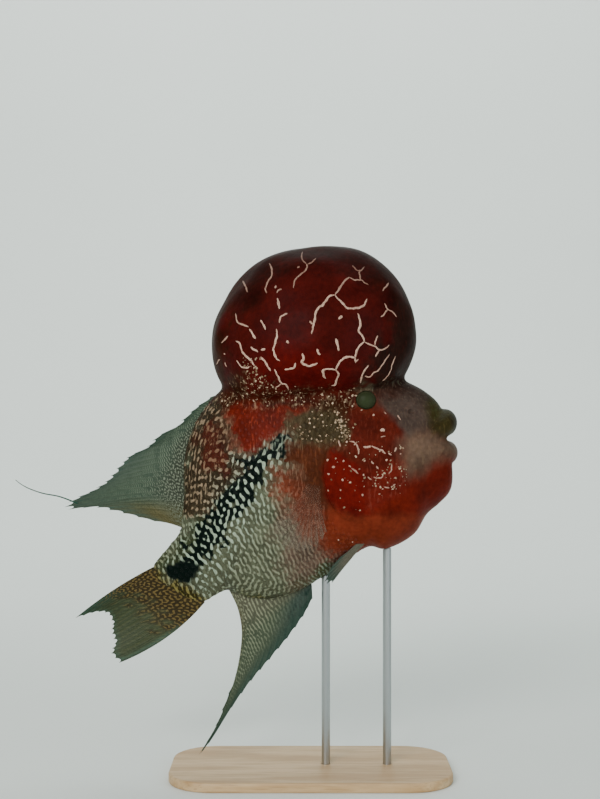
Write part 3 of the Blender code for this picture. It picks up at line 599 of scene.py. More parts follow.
# Each zone: skin colour, mark colour, how much of the bare skin is flecked, edge width, outline
ZONES = {
    "belly": ("6a5649", "8d7a68", 0.15, 12, read_off(
        (292, 500), (330, 520), (356, 556), (345, 580), (318, 600), (298, 592), (284, 560), (282, 525))),
    "vent": ("4d5236", "8b9b86", 0.2, 5, read_off(
        (300, 585), (330, 560), (356, 560), (350, 600), (300, 612))),
    "anal_base": ("4d5236", "9a9468", 0.5, 4, read_off(
        (228, 600), (238, 592), (262, 600), (292, 606), (300, 620), (262, 625), (236, 622), (226, 612))),
    "tail_root": ("3b3519", "8f8349", 0.6, 4, read_off(
        (120, 572), (150, 566), (166, 580), (192, 590), (206, 600), (196, 625), (160, 640), (110, 600))),
    "tail_top": ("39402a", "8b9272", 0.5, 4, read_off(
        (150, 566), (180, 540), (200, 512), (214, 520), (200, 545), (176, 566), (160, 580))),
    "face": ("5c2414", "7d4030", 0.2, 6, read_off(
        (300, 440), (345, 392), (400, 386), (440, 400), (460, 450), (466, 500), (440, 540), (360, 562),
        (322, 545), (316, 500))),
    "streaks": ("6c3321", "9a6450", 0.5, 6, read_off(
        (277, 468), (300, 468), (320, 500), (335, 546), (322, 552), (300, 532), (284, 505), (272, 484))),
    "shoulder": ("4c2413", "6d3a22", 0.3, 5, read_off(
        (280, 441), (345, 442), (332, 458), (322, 480), (325, 506), (316, 503), (303, 488), (298, 470),
        (282, 455))),
    "dorsal_band": ("3a3022", "a48d72", 0.5, 5, read_off(
        (226, 386), (226, 405), (229, 440), (240, 455), (262, 454), (252, 472), (232, 482), (222, 507),
        (196, 522), (180, 512), (180, 470), (186, 440), (188, 410), (205, 388))),
    "dorsal_streak": ("4e2318", "8d6a52", 0.5, 3.5, read_off(
        (196, 424), (214, 420), (222, 440), (228, 462), (222, 476), (208, 470), (200, 450))),
    "nape": ("66190b", "8c2f19", 0.2, 6, read_off(
        (224, 392), (285, 394), (330, 396), (318, 408), (296, 424), (280, 442), (262, 450), (245, 452),
        (232, 447), (226, 430))),
    "behind_eye": ("40341f", "8f8263", 0.12, 5, read_off(
        (286, 424), (304, 412), (322, 404), (334, 404), (346, 414), (356, 428), (357, 445), (332, 446),
        (306, 443), (288, 438))),
    "throat": ("7b2e1a", "86381f", 0.1, 4, read_off(
        (352, 513), (428, 513), (460, 503), (456, 530), (430, 556), (390, 560), (346, 556), (326, 545),
        (320, 522), (330, 508))),
    "chin": ("66180a", "7c2412", 0.1, 4, read_off(
        (411, 476), (438, 459), (450, 453), (466, 458), (466, 492), (452, 508), (428, 514), (366, 514),
        (362, 500), (400, 488))),
    "cheek_low": ("681b10", "8f4a3c", 0.3, 3, read_off(
        (360, 462), (404, 458), (414, 476), (404, 492), (366, 512), (362, 492))),
    "gill": ("6a1009", "86281c", 0.1, 2.5, read_off(
        (330, 450), (347, 455), (362, 470), (364, 492), (366, 513), (341, 515), (327, 500), (321, 478))),
    "snout": ("50413a", "6b5a4c", 0.3, 6, read_off(
        (374, 398), (405, 386), (430, 386), (470, 400), (470, 430), (430, 432), (404, 444), (386, 424))),
    "under_eye": ("581a0f", "7d3426", 0.3, 3, read_off(
        (344, 398), (358, 398), (364, 412), (380, 408), (398, 424), (408, 446), (404, 462), (380, 470),
        (362, 468), (346, 452), (350, 430))),
    "tan": ("6a5344", "84694f", 0.3, 6, read_off(
        (400, 440), (428, 428), (446, 436), (470, 436), (470, 452), (452, 456), (440, 460), (412, 478),
        (402, 460))),
    "lips": ("3b331a", "5a4c28", 0.5, 3, read_off(
        (426, 404), (440, 396), (470, 400), (470, 438), (448, 438), (434, 434), (430, 424))),
    "lip_rim": ("2c2412", "3b331a", 0.4, 2, read_off(
        (446, 406), (455, 408), (460, 420), (460, 436), (453, 432), (450, 418))),
    "crest": ("3b3519", "4a5636", 0.4, 4, read_off(
        (404, 378), (418, 390), (424, 394), (424, 404), (430, 416), (442, 420), (454, 408), (448, 388),
        (430, 372), (408, 366))),
    "hump": ("480f0b", "5c1a14", 0.1, 2.5, read_off(
        (205, 398), (214, 390), (228, 392), (250, 390), (275, 391), (300, 391), (320, 391), (345, 390),
        (358, 386), (378, 380), (398, 376), (412, 380), (440, 360), (440, 220), (180, 220), (190, 380))),
    "foot": ("371708", "9c8468", 0.5, 5, FOOT),
    "hump_heart": ("5a0a06", "", 0.1, 10, read_off(
        (250, 392), (262, 350), (290, 345), (330, 352), (345, 370), (342, 392))),
    # painted shade: the band over the top of the hump is painted darker than the rest of it
    "hump_crown_painted_shade": ("2e0e07", "", 0.1, 9, read_off(
        (228, 300), (250, 258), (290, 236), (345, 232), (395, 258), (425, 300), (425, 380), (400, 370),
        (396, 330), (380, 290), (350, 268), (320, 262), (285, 268), (262, 290), (245, 312))),
    "hump_rim": ("371708", "", 0.1, 4, read_off(
        (195, 398), (222, 396), (224, 370), (221, 345), (226, 310), (240, 275), (262, 252), (240, 240),
        (200, 280))),
    "hump_front": ("2d1812", "", 0.2, 5, read_off(
        (366, 392), (372, 372), (376, 350), (392, 330), (400, 300), (425, 300), (425, 395))),
}
BLACK = "06100d"
LINE_MARK = "a9bba6"
LINE = {
    "upper": (2.6, read_off(
        (282, 440), (290, 445), (282, 455), (270, 470), (255, 482), (240, 505), (225, 495), (237, 480),
        (240, 465), (265, 450))),
    "lower": (3.0, read_off(
        (225, 495), (240, 505), (227, 530), (217, 550), (202, 562), (188, 572), (178, 562), (190, 542),
        (202, 525), (212, 510))),
}
LINE_SPOT = (1.2, read_off(
        (163, 570), (176, 562), (190, 560), (203, 562), (196, 574), (190, 584), (178, 584), (166, 578)))
LINE_HALO = (8.0, (
    (-87, 120), (-76, 134), (-62, 150), (-44, 182), (-24, 196), (-14, 196), (-14, 184),
    (-30, 160), (-44, 130), (-52, 108), (-70, 106)))

# Where small round pearls stand on the bare skin: how many to the square millimetre, and the outline
DOTTED = {
    "foot": (0.16, FOOT),
    "star_high": (0.3, read_off(
        (242, 356), (252, 354), (262, 358), (256, 372), (244, 372))),
    "star_low": (0.3, read_off(
        (242, 372), (254, 370), (262, 380), (254, 394), (242, 390))),
    "eye_patch": (0.1, read_off(
        (288, 424), (304, 412), (322, 404), (346, 410), (357, 428), (357, 443), (332, 446), (306, 442))),
    "cream_clump": (0.6, read_off(
        (333, 412), (340, 411), (346, 424), (350, 440), (343, 440), (335, 425))),
    "cheek": (0.14, read_off(
        (376, 466), (392, 460), (408, 468), (404, 492), (380, 496), (372, 484))),
    "cheek_high": (0.07, read_off(
        (340, 446), (372, 440), (404, 446), (404, 462), (372, 462), (344, 460))),
    "gill": (0.03, read_off(
        (326, 458), (362, 462), (366, 512), (342, 514), (326, 498))),
}
# The view shows dark skin lighter than it is, so skin colours are painted deeper and a little greyer
SKIN_DEPTH, SKIN_VIVID = 0.75, 0.97
PATCH_PLAIN = 0.9  # how far the marks fade on the patch behind the eye
# How the zones' edges wander: wavelength, reach, and one seed each for the two directions
WANDER = ((14, 1.9, (31, 32)), (5, 1.0, (33, 34)))
# Zones whose scales are small and lie flat, under streaks in place of marks
STREAKED = ("nape", "streaks", "shoulder", "throat")
UNWRAP_LINE = ((-80.0, 108.0), (-4.0, 178.0), (80.0, 197.0))  # tail root, middle, mouth
BODY_LENGTH = 189.0  # along that line


def seen(points):
    """Where a point shows on the middle plane from the camera. The left side is read the same way."""
    points = np.asarray(points, float)
    grow = -CAMERA[1] / (-CAMERA[1] - np.abs(points[:, 1]))
    return np.column_stack([
        CAMERA[0] + (points[:, 0] - CAMERA[0]) * grow,
        CAMERA[2] + (points[:, 2] - CAMERA[2]) * grow,
    ])


def deep(text):
    """A skin colour in linear numbers, deeper and a little greyer than it is written."""
    colour = srgb(text)
    grey = colour.mean()
    return np.maximum(grey + (colour - grey) * SKIN_VIVID, 0.0008) * SKIN_DEPTH


def within(places, outline, soft):
    """1 inside an outline and 0 outside, with an edge about twice as wide as soft."""
    corners = np.asarray(outline, float)
    x, z = places.T
    inside, gap = np.zeros(len(places), bool), np.full(len(places), 1e9)
    for (ax, az), (bx, bz) in zip(corners, np.roll(corners, -1, axis=0)):
        rise = bz - az if abs(bz - az) > 1e-9 else 1e-9
        inside ^= ((az > z) != (bz > z)) & (x < (bx - ax) * (z - az) / rise + ax)
        share = ((x - ax) * (bx - ax) + (z - az) * (bz - az)) / ((bx - ax) ** 2 + (bz - az) ** 2)
        share = np.clip(share, 0, 1)
        gap = np.minimum(gap, np.hypot(x - ax - share * (bx - ax), z - az - share * (bz - az)))
    return ease(np.where(inside, gap, -gap), -soft, soft)


def hide(points):
    """Skin colour, mark colour, and the shares of flecks, of black and of unmarked skin, at points."""
    wander = np.zeros((len(points), 2))
    for length, reach, seeds in WANDER:
        wander += np.column_stack([ripples(points, length, seed) for seed in seeds]) * reach
    calm = 1 - 0.65 * within(seen(points), ZONES["face"][4], 8)
    places = seen(points) + wander * calm[:, None]
    count = len(points)
    tone, mark = (np.tile(deep(colour), (count, 1)) for colour in FLANK)
    fleck = np.full(count, 0.4)
    for skin, spot, flecked, soft, outline in ZONES.values():
        share = within(places, outline, soft)
        tone = mix(tone, deep(skin), share[:, None])
        if spot:
            mark = mix(mark, deep(spot), share[:, None])
        fleck = mix(fleck, flecked, share)
    halo = within(places, LINE_HALO[1], LINE_HALO[0]) * (1 - within(places, ZONES["tail_root"][4], 5))
    mark = mix(mark, srgb(LINE_MARK), halo[:, None] * 0.8)
    line = np.max([within(places, outline, soft) for soft, outline in LINE.values()], axis=0)
    frayed = 0.2 * ripples(points, 7.5, 41) + 0.12 * ripples(points, 3.5, 42)
    spot = within(seen(points) + wander * 0.3, LINE_SPOT[1], LINE_SPOT[0])
    black = np.maximum(ease(line + 4 * line * (1 - line) * frayed, 0.36, 0.56), spot)
    solid = np.maximum(spot, PATCH_PLAIN * within(places, ZONES["behind_eye"][4], 5))
    lift = 1 + 0.10 * ripples(points, 16, 35) + 0.05 * ripples(points, 4, 36)
    return tone * np.clip(lift, 0.6, 1.5)[:, None], mark, fleck, black, solid


def on_the_line(points):
    """How far along the line from tail root to snout points lie, as a share, and how far above it."""
    start, bend, end = np.array(UNWRAP_LINE)
    first, second = bend - start, end - bend
    flat = np.asarray(points, float)[:, (0, 2)]
    length = np.linalg.norm(first), np.linalg.norm(second)
    on_first = (flat - start) @ first / length[0]
    on_second = (flat - bend) @ second / length[1]
    share = ease(on_first, length[0] * 0.4, length[0] * 1.4)
    along = mix(on_first, length[0] + on_second, share) / sum(length)
    up_first = (flat - start) @ np.array([-first[1], first[0]]) / length[0]
    up_second = (flat - bend) @ np.array([-second[1], second[0]]) / length[1]
    return along, mix(up_first, up_second, share)


def round_the_body(points):
    """A point's place on the unwrap: along the line from the tail's root to the snout, and round it."""
    points = np.asarray(points, float)
    along, up = on_the_line(points)
    return np.column_stack([0.12 + 0.76 * along, 0.5 + 0.48 * np.arctan2(points[:, 1], up) / math.pi])


def body_map(points):
    """Millimetres along the body, above its line and across it, for the weave of marks."""
    along, up = on_the_line(points)
    return np.column_stack([along * BODY_LENGTH, up, points[:, 1]])


class Surface:
    """The finished skin, ready for things to be laid on."""

    def __init__(self, points, quads):
        self.tree = tree_of(points, quads)

    def onto(self, point):
        hit, normal, _, _ = self.tree.find_nearest(Vector(point))
        return np.array(hit), np.array(normal)

    def looked_at(self, place, side):
        """The first point of the skin that the camera, or its mirror image, sees through a place."""
        eye = Vector((CAMERA[0], side * -CAMERA[1], CAMERA[2]))
        hit, normal, _, _ = self.tree.ray_cast(eye, (Vector((place[0], 0, place[1])) - eye).normalized())
        return (None, None) if hit is None else (np.array(hit), np.array(normal))


# Scales

SCALE_STEP, SCALE_ACROSS = 3.2, 3.9
SCALE_LENGTH, SCALE_WIDTH = 5.0, 4.5
SCALE_RISE, SCALE_THICK = 0.42, 0.35
SCALE_COLUMNS, SCALE_ROWS = 7, 6
SCALE_SUNK = 0.22  # how far a plate's root lies under the skin
SCALED_FROM, SCALED_TO = 0.1, 11.6  # stations between which scales are laid
FAR_OFF = 3.0  # a plate further than this from the skin would lie under the hump
FLANK_WEAVE, BOLD_WEAVE, DOT_WEAVE = 2.8, 3.7, 3.6  # wavelengths of the pale marks
SKIN_GRAIN = 0.7  # fine unevenness, drawn as coarse as it needs to show
GROWTH_RING = 0.449  # finer in life, and drawn as coarse as it needs to show
# Where the marks run lengthwise, over the anal fin
TURNED = ((-56, 112), (-30, 113), (0, 108), (14, 104), (14, 90), (-60, 90))
# Forward of this outline's hind edge the fish carries no scales
BARE = ((-75, 228), (-50, 219), (0, 217), (16, 210), (22, 200), (20, 190), (8, 188), (3, 178), (5, 165),
        (10, 152), (20, 143), (44, 128), (110, 120), (110, 330), (-90, 330))


def scale_roots():
    """Station number, angle from the back and side of every scale, in staggered columns."""
    fine = np.linspace(SCALED_FROM, SCALED_TO, 400)
    top, bottom, _, _ = section(fine)
    middle = (top + bottom) / 2
    run = np.concatenate([[0], np.cumsum(np.linalg.norm(np.diff(middle, axis=0), axis=1))])
    roots = []
    angle = np.linspace(0, math.pi, 160)
    for number, at in enumerate(np.interp(np.arange(0, run[-1], SCALE_STEP), run, fine)):
        ring = body_points(np.full(len(angle), at), angle)
        length = np.concatenate([[0], np.cumsum(np.linalg.norm(np.diff(ring, axis=0), axis=1))])
        count = max(4, round(length[-1] / SCALE_ACROSS))
        for k in range(count):
            share = (k + 0.25 + 0.5 * (number % 2)) / (count + 0.25)
            turn = float(np.interp(share * length[-1], length, angle))
            roots += [(at, turn, side) for side in (-1, 1)]
    return roots


def weave_traits(points):
    """Places along the body, and where on it the pale marks turn, grow bold, break up or streak."""
    places = seen(points)
    return {
        "weave": body_map(points),
        "turned": within(places, TURNED, 4),
        "bold": within(places, LINE_HALO[1], LINE_HALO[0]),
        "dotted": within(places, ZONES["dorsal_band"][4], 4),
        "streaked": streaked(places),
    }


def streaked(places):
    return np.max([within(places, ZONES[name][4], 5) for name in STREAKED], axis=0)


def lay_scales(surface):
    """Of every scale: its points, their shares across and along it, its middle and its unwrap place."""
    rng = np.random.default_rng(7)
    roots = scale_roots()
    at = np.array([r[0] for r in roots]) + rng.normal(0, 0.02, len(roots))
    angle = np.array([r[1] * -r[2] for r in roots]) + rng.normal(0, 0.008, len(roots))
    centres = body_points(at, angle)
    tailward = body_points(at - 0.05, angle) - centres
    places = seen(centres)
    bare = within(places, BARE, 0.01) > 0.5
    lift = 1 - 0.55 * streaked(places)
    across_steps = np.linspace(-1, 1, SCALE_COLUMNS)
    along_steps = np.linspace(0, 1, SCALE_ROWS)
    plates, shares, middles, maps = [], [], [], []
    for i in np.flatnonzero(~bare):
        spot, normal = surface.onto(centres[i])
        if np.linalg.norm(spot - centres[i]) > FAR_OFF:
            continue
        way = tailward[i] - normal * (tailward[i] @ normal)
        way /= np.linalg.norm(way)
        side_way = np.cross(normal, way)
        rng.random()  # this draw keeps the later ones in their order
        size = rng.uniform(0.94, 1.08)
        near_tail = 0.8 + 0.2 * float(ease(centres[i][0], -80, -40))
        upper, lower = [], []
        for a in across_steps:
            for v in along_steps:
                narrow = math.sqrt(1 - 0.85 * max(0.0, (v - 0.4) / 0.6) ** 2.2)
                out = way * ((v - 0.5 - 0.24 * v * a * a) * SCALE_LENGTH * size * near_tail)
                wide = side_way * (a * SCALE_WIDTH / 2 * size * near_tail * narrow)
                hit, up = surface.onto(spot + out + wide)
                rise = (SCALE_RISE * lift[i] + SCALE_SUNK) * v**1.2 - SCALE_SUNK - 0.16 * a * a
                upper.append(hit + up * rise)
                lower.append(hit + up * (rise - SCALE_THICK * (0.4 + 0.6 * v)))
        plates.append(upper + lower)
        shares.append([(a, v, 0) for a in across_steps for v in along_steps] * 2)
        middles.append(spot)
        maps.append((at[i] / LAST_STATION, angle[i] / (2 * math.pi) + 0.5))
    return np.array(plates), np.array(shares), np.array(middles), np.array(maps)


def plate_faces():
    """Quads of one closed plate."""
    columns, rows = SCALE_COLUMNS, SCALE_ROWS
    count = columns * rows
    faces = []
    for c in range(columns - 1):
        for r in range(rows - 1):
            a, b = c * rows + r, (c + 1) * rows + r
            faces.append((a, a + 1, b + 1, b))
            faces.append((count + b, count + b + 1, count + a + 1, count + a))
    border = [c * rows for c in range(columns)]
    border += [(columns - 1) * rows + r for r in range(1, rows)]
    border += [c * rows + rows - 1 for c in range(columns - 2, -1, -1)]
    border += [r for r in range(rows - 2, 0, -1)]
    for a, b in zip(border, border[1:] + border[:1]):
        faces.append((a, b, count + b, count + a))
    return np.array(faces)


def scales(surface, finish):
    """Two coats of plates: the right side and the left side."""
    plates, local, middles, maps = lay_scales(surface)
    tone, mark, *_ = hide(middles)
    rng = np.random.default_rng(8)
    tone = tone * rng.uniform(0.86, 1.14, len(tone))[:, None]
    mark = mark * rng.uniform(0.8, 1.15, len(mark))[:, None]
    faces, each = plate_faces(), plates.shape[1]
    for name, side in (("scales_right", -1), ("scales_left", 1)):
        mine = np.flatnonzero(middles[:, 1] * side > 0)
        all_faces = (faces[None] + (np.arange(len(mine)) * each)[:, None, None]).reshape(-1, 4)
        obj = new_mesh(name, plates[mine].reshape(-1, 3), all_faces)
        points = plates[mine].reshape(-1, 3)
        _, _, _, black, solid = hide(mix(points, np.repeat(middles[mine], each, axis=0), 0.4))
        put(obj.data, "tone", np.repeat(tone[mine], each, axis=0))
        put(obj.data, "mark", np.repeat(mark[mine], each, axis=0))
        put(obj.data, "local", local[mine].reshape(-1, 3))
        put(obj.data, "black", black)
        put(obj.data, "solid", solid)
        for label, values in weave_traits(points).items():
            put(obj.data, label, values)
        patch = (local[mine][:, :, :2] - (0, 0.5)) * (PATCH / 2, PATCH) + maps[mine][:, None]
        bake_map(obj.data, patch.reshape(-1, 2))
        obj.data.materials.append(finish)


# Pearl lines and dots

PEARL_RISE = 0.34
PEARL_NARROW = 0.86
PEARL_PATCH = 0.0014  # half of a pearl's patch
PEARL_STEP = 0.55  # length of one step along a pearl line
PEARL_LEAP = 4.0  # a line with a longer step than this has slipped off an edge
MIRROR_SHIFT = 3.0  # how far forward the hump's lines are shifted on the left side
# the hump's pearl lines are dimmed towards its top by painted shade, like the hump's crown
FAINT_AT, FULL_AT = 305, 255  # heights at which the hump's pearl lines are faint and full
LINE_SHADES, DOT_SHADES = ("5c3329", "d0b09c"), ("7a6a50", "c8b49a")  # from the dull to the bright end
DOME_SPOKES = 10
# Section of a round pearl from middle to edge: radius and height, as shares
DOME_SECTION = ((0.12, 1.0), (0.5, 0.86), (0.85, 0.4), (1.0, -0.4))
# Section of a pearl line from edge to edge: place across, and height as a share of the rise
PEARL_SECTION = ((-1, -0.3), (-0.85, 0.35), (-0.45, 0.85), (0, 1), (0.45, 0.85), (0.85, 0.35), (1, -0.3))


def ribbon(surface, stroke, side, flip, rng):
    """Cross-sections of one raised line that lies on the skin."""
    width, bends = stroke[0], np.array(read_off(*stroke[1:]))
    if flip:
        bends = bends * (-1, 1) + (2 * HUMP_CENTRE[0] + MIRROR_SHIFT, 0)
    length = np.linalg.norm(np.diff(bends, axis=0), axis=1).sum()
    steps = max(4, int(length / PEARL_STEP) + 1)
    line = evenly(bends, np.linspace(0, 1, steps))
    line = line + 0.1 * np.column_stack([ripples(line, 3.1, 51), ripples(line, 3.1, 52)])
    hits = [surface.looked_at(place, side) for place in line]
    hits = [(p, n) for p, n in hits if p is not None]
    if len(hits) < 3:
        return None
    points, normals = (np.array(v) for v in zip(*hits))
    if np.linalg.norm(np.diff(points, axis=0), axis=1).max() > PEARL_LEAP:
        return None
    way = np.gradient(points, axis=0)
    way /= np.linalg.norm(way, axis=1)[:, None] + 1e-9
    sideways = np.cross(normals, way)
    share = np.linspace(-1, 1, len(points))
    half = PEARL_NARROW * width / 2 * np.maximum(1 - np.abs(share) ** 6, 0.05) ** 0.5
    half = half * (1 + 0.12 * ripples(points, 3.0, int(rng.integers(1000))))
    rings = []
    height = PEARL_RISE * np.minimum(half / (width / 2), 1.0)
    for across, rise in PEARL_SECTION:
        rings.append(points + sideways * (across * half)[:, None] + normals * (rise * height)[:, None])
    return np.stack(rings, axis=1)


def pearl_mesh(name, parts, shades, finish):
    """One mesh of many small closed ribbons and domes, each with its own shade and unwrap patch."""
    points, faces, tones, maps = [], [], [], []
    start = 0
    for ring, shade_of in zip(parts, shades):
        rows, spokes, _ = ring.shape
        caps = np.array([ring[0].mean(axis=0), ring[-1].mean(axis=0)])
        piece = np.vstack([ring.reshape(-1, 3), caps])
        count = rows * spokes
        faces.append(tube_triangles(rows, spokes, count, count + 1) + start)
        points.append(piece)
        tones.append(np.tile(shade_of, (len(piece), 1)))
        root = round_the_body(piece.mean(axis=0)[None])[0]
        spread = piece - piece.mean(axis=0)
        maps.append(root + spread[:, (0, 2)] / max(np.abs(spread).max(), 1e-6) * PEARL_PATCH)
        start += len(piece)
    obj = new_mesh(name, np.vstack(points), np.vstack(faces))
    put(obj.data, "tone", np.vstack(tones))
    bake_map(obj.data, np.vstack(maps))
    obj.data.materials.append(finish)
    return obj


def dome(point, normal, radius, rise, rng):
    """A low round pearl, slightly out of round."""
    first = np.cross(normal, (0.3, 0.2, 0.9))
    first /= np.linalg.norm(first)
    second = np.cross(normal, first)
    turn = np.arange(DOME_SPOKES) * 2 * math.pi / DOME_SPOKES
    wide = 1 + 0.18 * np.cos(2 * turn + rng.uniform(0, 6)) + 0.08 * np.cos(3 * turn + rng.uniform(0, 6))
    rings = []
    for reach, height in DOME_SECTION:
        flat = first * np.cos(turn)[:, None] + second * np.sin(turn)[:, None]
        rings.append(point + flat * (radius * reach * wide)[:, None] + normal * rise * height)
    return np.array(rings)


def one_dot(surface, stroke, side, rng):
    point, normal = surface.looked_at(read_off(stroke[1])[0], side)
    return None if point is None else dome(point, normal, stroke[0] / 2, PEARL_RISE, rng)


def drawn_pearls(surface, side, rng):
    """The pearl lines and dots that were read off the photograph, each as its mesh rings and its colour."""
    for strokes in (HUMP_PEARLS, CHEEK_PEARLS):
        on_hump = strokes is HUMP_PEARLS
        for stroke in strokes:
            if len(stroke) > 2:
                ring = ribbon(surface, stroke, side, on_hump and side > 0, rng)
            else:
                ring = one_dot(surface, stroke, side, rng)
            if ring is None:
                continue
            # painted shade: on the hump, lines that lie higher up are painted fainter
            light = float(ease(ring[..., 2].mean(), FAINT_AT, FULL_AT)) if on_hump else 0.8
            bright = (0.35 + 0.65 * light) * (0.72 + 0.28 * float(ease(stroke[0], 0.9, 1.4)))
            dull, pale = (srgb(colour) for colour in LINE_SHADES)
            yield ring, mix(dull, pale, min(bright, 1.0))


def strewn_pearls(surface, side, rng):
    """Small round pearls strewn over the dotted areas."""
    for density, outline in DOTTED.values():
        low, high = np.min(outline, axis=0), np.max(outline, axis=0)
        tries = rng.uniform(low, high, (int(density * np.prod(high - low)), 2))
        for place in tries[within(tries, outline, 1.5) > rng.random(len(tries))]:
            point, normal = surface.looked_at(place, side)
            if point is None:
                continue
            radius = 0.22 + 0.58 * rng.random() ** 2
            pearl = dome(point, normal, radius, 0.12 + 0.25 * radius, rng)
            dull, pale = (srgb(colour) for colour in DOT_SHADES)
            yield pearl, mix(dull, pale, rng.random())


def pearls(surface, finish):
    rng = np.random.default_rng(21)
    for name, side in (("pearls_right", -1), ("pearls_left", 1)):
        made = [*drawn_pearls(surface, side, rng), *strewn_pearls(surface, side, rng)]
        pearl_mesh(name, *zip(*made), finish)


# Fins

SIDE_FIN_COLUMNS, SIDE_FIN_ROWS = 9, 60
FIN_MEMBRANE, FIN_RAY = 0.34, 0.5  # thickness between the rays, and what a ray adds
RAY_JOINT = 1.6  # length of one bony joint of a ray
THREAD_STEPS, THREAD_SPOKES = 60, 12
# Colours of the paired fins: root, tip, marks
PECTORAL_COLOURS = ("6b4a3c", "6a6254", "85796a")
PELVIC_COLOURS = ("5c564a", "2f4038", "6d7466")


def ray_relief(place, v, splits):
    """How far a fin is raised by its rays: one ridge each, that forks once or twice towards the margin."""
    off = place - np.round(place)
    fork = ease(v, splits, splits + 0.25)
    again = ease(v, splits + 0.25, splits + 0.5)
    ridges = [np.exp(-((off - sign * 0.15 * fork - sub * 0.075 * again) / 0.07) ** 2)
              for sign in (-1, 1) for sub in (-1, 1)]
    return np.max(ridges, axis=0)


def blade(name, centre, normal, half, traits, finish):
    """A thin closed vane over a grid of centres [column, row], with one value of each trait per point."""
    columns, rows, _ = centre.shape
    points = np.vstack([
        (centre + normal * half[..., None]).reshape(-1, 3),
        (centre - normal * half[..., None]).reshape(-1, 3),
    ])
    other = columns * rows
    c, r = np.meshgrid(np.arange(columns - 1), np.arange(rows - 1), indexing="ij")
    a, b = (c * rows + r).ravel(), ((c + 1) * rows + r).ravel()
    near = np.column_stack([a, b, b + 1, a + 1])
    border = [k * rows for k in range(columns)]
    border += [(columns - 1) * rows + k for k in range(1, rows)]
    border += [k * rows + rows - 1 for k in range(columns - 2, -1, -1)]
    border += [k for k in range(rows - 2, 0, -1)]
    ends = np.column_stack([border, np.roll(border, -1)])
    rim = np.column_stack([ends[:, 1], ends[:, 0], ends[:, 0] + other, ends[:, 1] + other])
    obj = new_mesh(name, points, np.vstack([near, near[:, ::-1] + other, rim]))
    for label, values in traits.items():
        flat = values.reshape(other, -1)
        put(obj.data, label, np.vstack([flat, flat]) if flat.shape[1] > 1 else np.tile(flat[:, 0], 2))
    obj.data.materials.append(finish)
    return obj


def fin_grid(sizes, base, margin):
    """Centres and half thicknesses of a midline fin over a grid, and what its colours go by."""
    share = np.linspace(0, 1, len(base))
    v = np.linspace(0, 1, sizes["rows"])
    place = share * (sizes["rays"] - 1)
    bow = evenly([[b] for b in sizes["bow"]], share)[:, 0]
    ragged = mix(*sizes["ragged"], ease(share, 0.1, 0.4))
    between = np.abs(np.sin(math.pi * place)) ** 0.7
    rng = np.random.default_rng(sizes["rays"])
    torn = np.interp(place, np.arange(sizes["rays"] * 3) / 3, rng.uniform(0, 1, sizes["rays"] * 3))
    reach = (1 - NOTCH * ragged * between - 0.02 * ragged * torn)[:, None] * v[None]
    chord = margin - base
    long = np.linalg.norm(chord, axis=1)
    square = np.column_stack([chord[:, 1], -chord[:, 0]]) / long[:, None]
    plane = base[:, None] + chord[:, None] * reach[..., None]
    plane = plane + square[:, None] * (bow[:, None] * 4 * reach * (1 - reach))[..., None]
    swing, waves, phase = sizes["wave"]
    centre = np.zeros((len(base), len(v), 3))
    centre[..., 0], centre[..., 2] = plane[..., 0], plane[..., 1]
    centre[..., 1] = swing * v**1.5 * np.sin(waves * math.pi * share + phase)[:, None]
    relief = ray_relief(place[:, None], v[None], sizes["forks_at"])
    root = np.maximum(0, 1 - 4 * v)[None] * (sizes["root"] - FIN_MEMBRANE) / 2
    half = FIN_MEMBRANE / 2 * (1 - 0.55 * v)[None] + root + relief * FIN_RAY / 2 * (1 - 0.75 * v)[None]
    joints = 0.5 + 0.5 * np.sin(v * long.mean() * 2 * math.pi / RAY_JOINT)
    half = half + (relief * 0.05 * joints[None]) * ease(v, 0.15, 0.3)[None]
    width = np.linalg.norm(np.diff(centre, axis=0, prepend=centre[:1]), axis=2).cumsum(axis=0)
    grid = {"share": share[:, None] + 0 * half, "v": v[None] + 0 * half, "length": long[:, None] * v[None],
            "width": width, "relief": relief}
    return swung(centre), half, grid


def tones(*layers):
    """Colours painted one over another: the first is a colour, the rest are pairs of colour and share."""
    first, *rest = layers
    out = np.broadcast_to(srgb(first), (*rest[0][1].shape, 3)).copy()
    for colour, share in rest:
        out = mix(out, srgb(colour), share[..., None])
    return out


def band(x, low, high, soft):
    return ease(x, low - soft, low + soft) * (1 - ease(x, high - soft, high + soft))


def edge_of_body(sizes, columns):
    at = np.linspace(*sizes["base"], columns)
    top, bottom, _, _ = section(at)
    edge, far = (top, bottom) if sizes["edge"] == "top" else (bottom, top)
    return edge + (far - edge) / np.linalg.norm(far - edge, axis=1)[:, None] * SUNK


def midline_fin(name, sizes, colours, finish):
    """A fin of the middle plane. colours gives its tone, marks, their strength and how netted they are."""
    columns = (sizes["rays"] - 1) * sizes["columns"] + 1
    share = np.linspace(0, 1, columns)
    base = evenly(sizes["root_line"], share) if "root_line" in sizes else edge_of_body(sizes, columns)
    centre, half, grid = fin_grid(sizes, base, evenly(sizes["margin"], share))
    grain = np.stack([grid["width"], grid["length"], 0 * half], axis=-1) / sizes["weave"]
    traits = {**colours(grid), "grain": grain, "ray": grid["relief"]}
    return blade(name, centre, np.array([0.0, 1.0, 0.0]), half, traits, finish)


def torn_patches(grid, wavelength, seed):
    plane = np.stack([grid["width"].ravel(), grid["length"].ravel()], axis=1)
    return ripples(plane, wavelength, seed).reshape(grid["v"].shape)


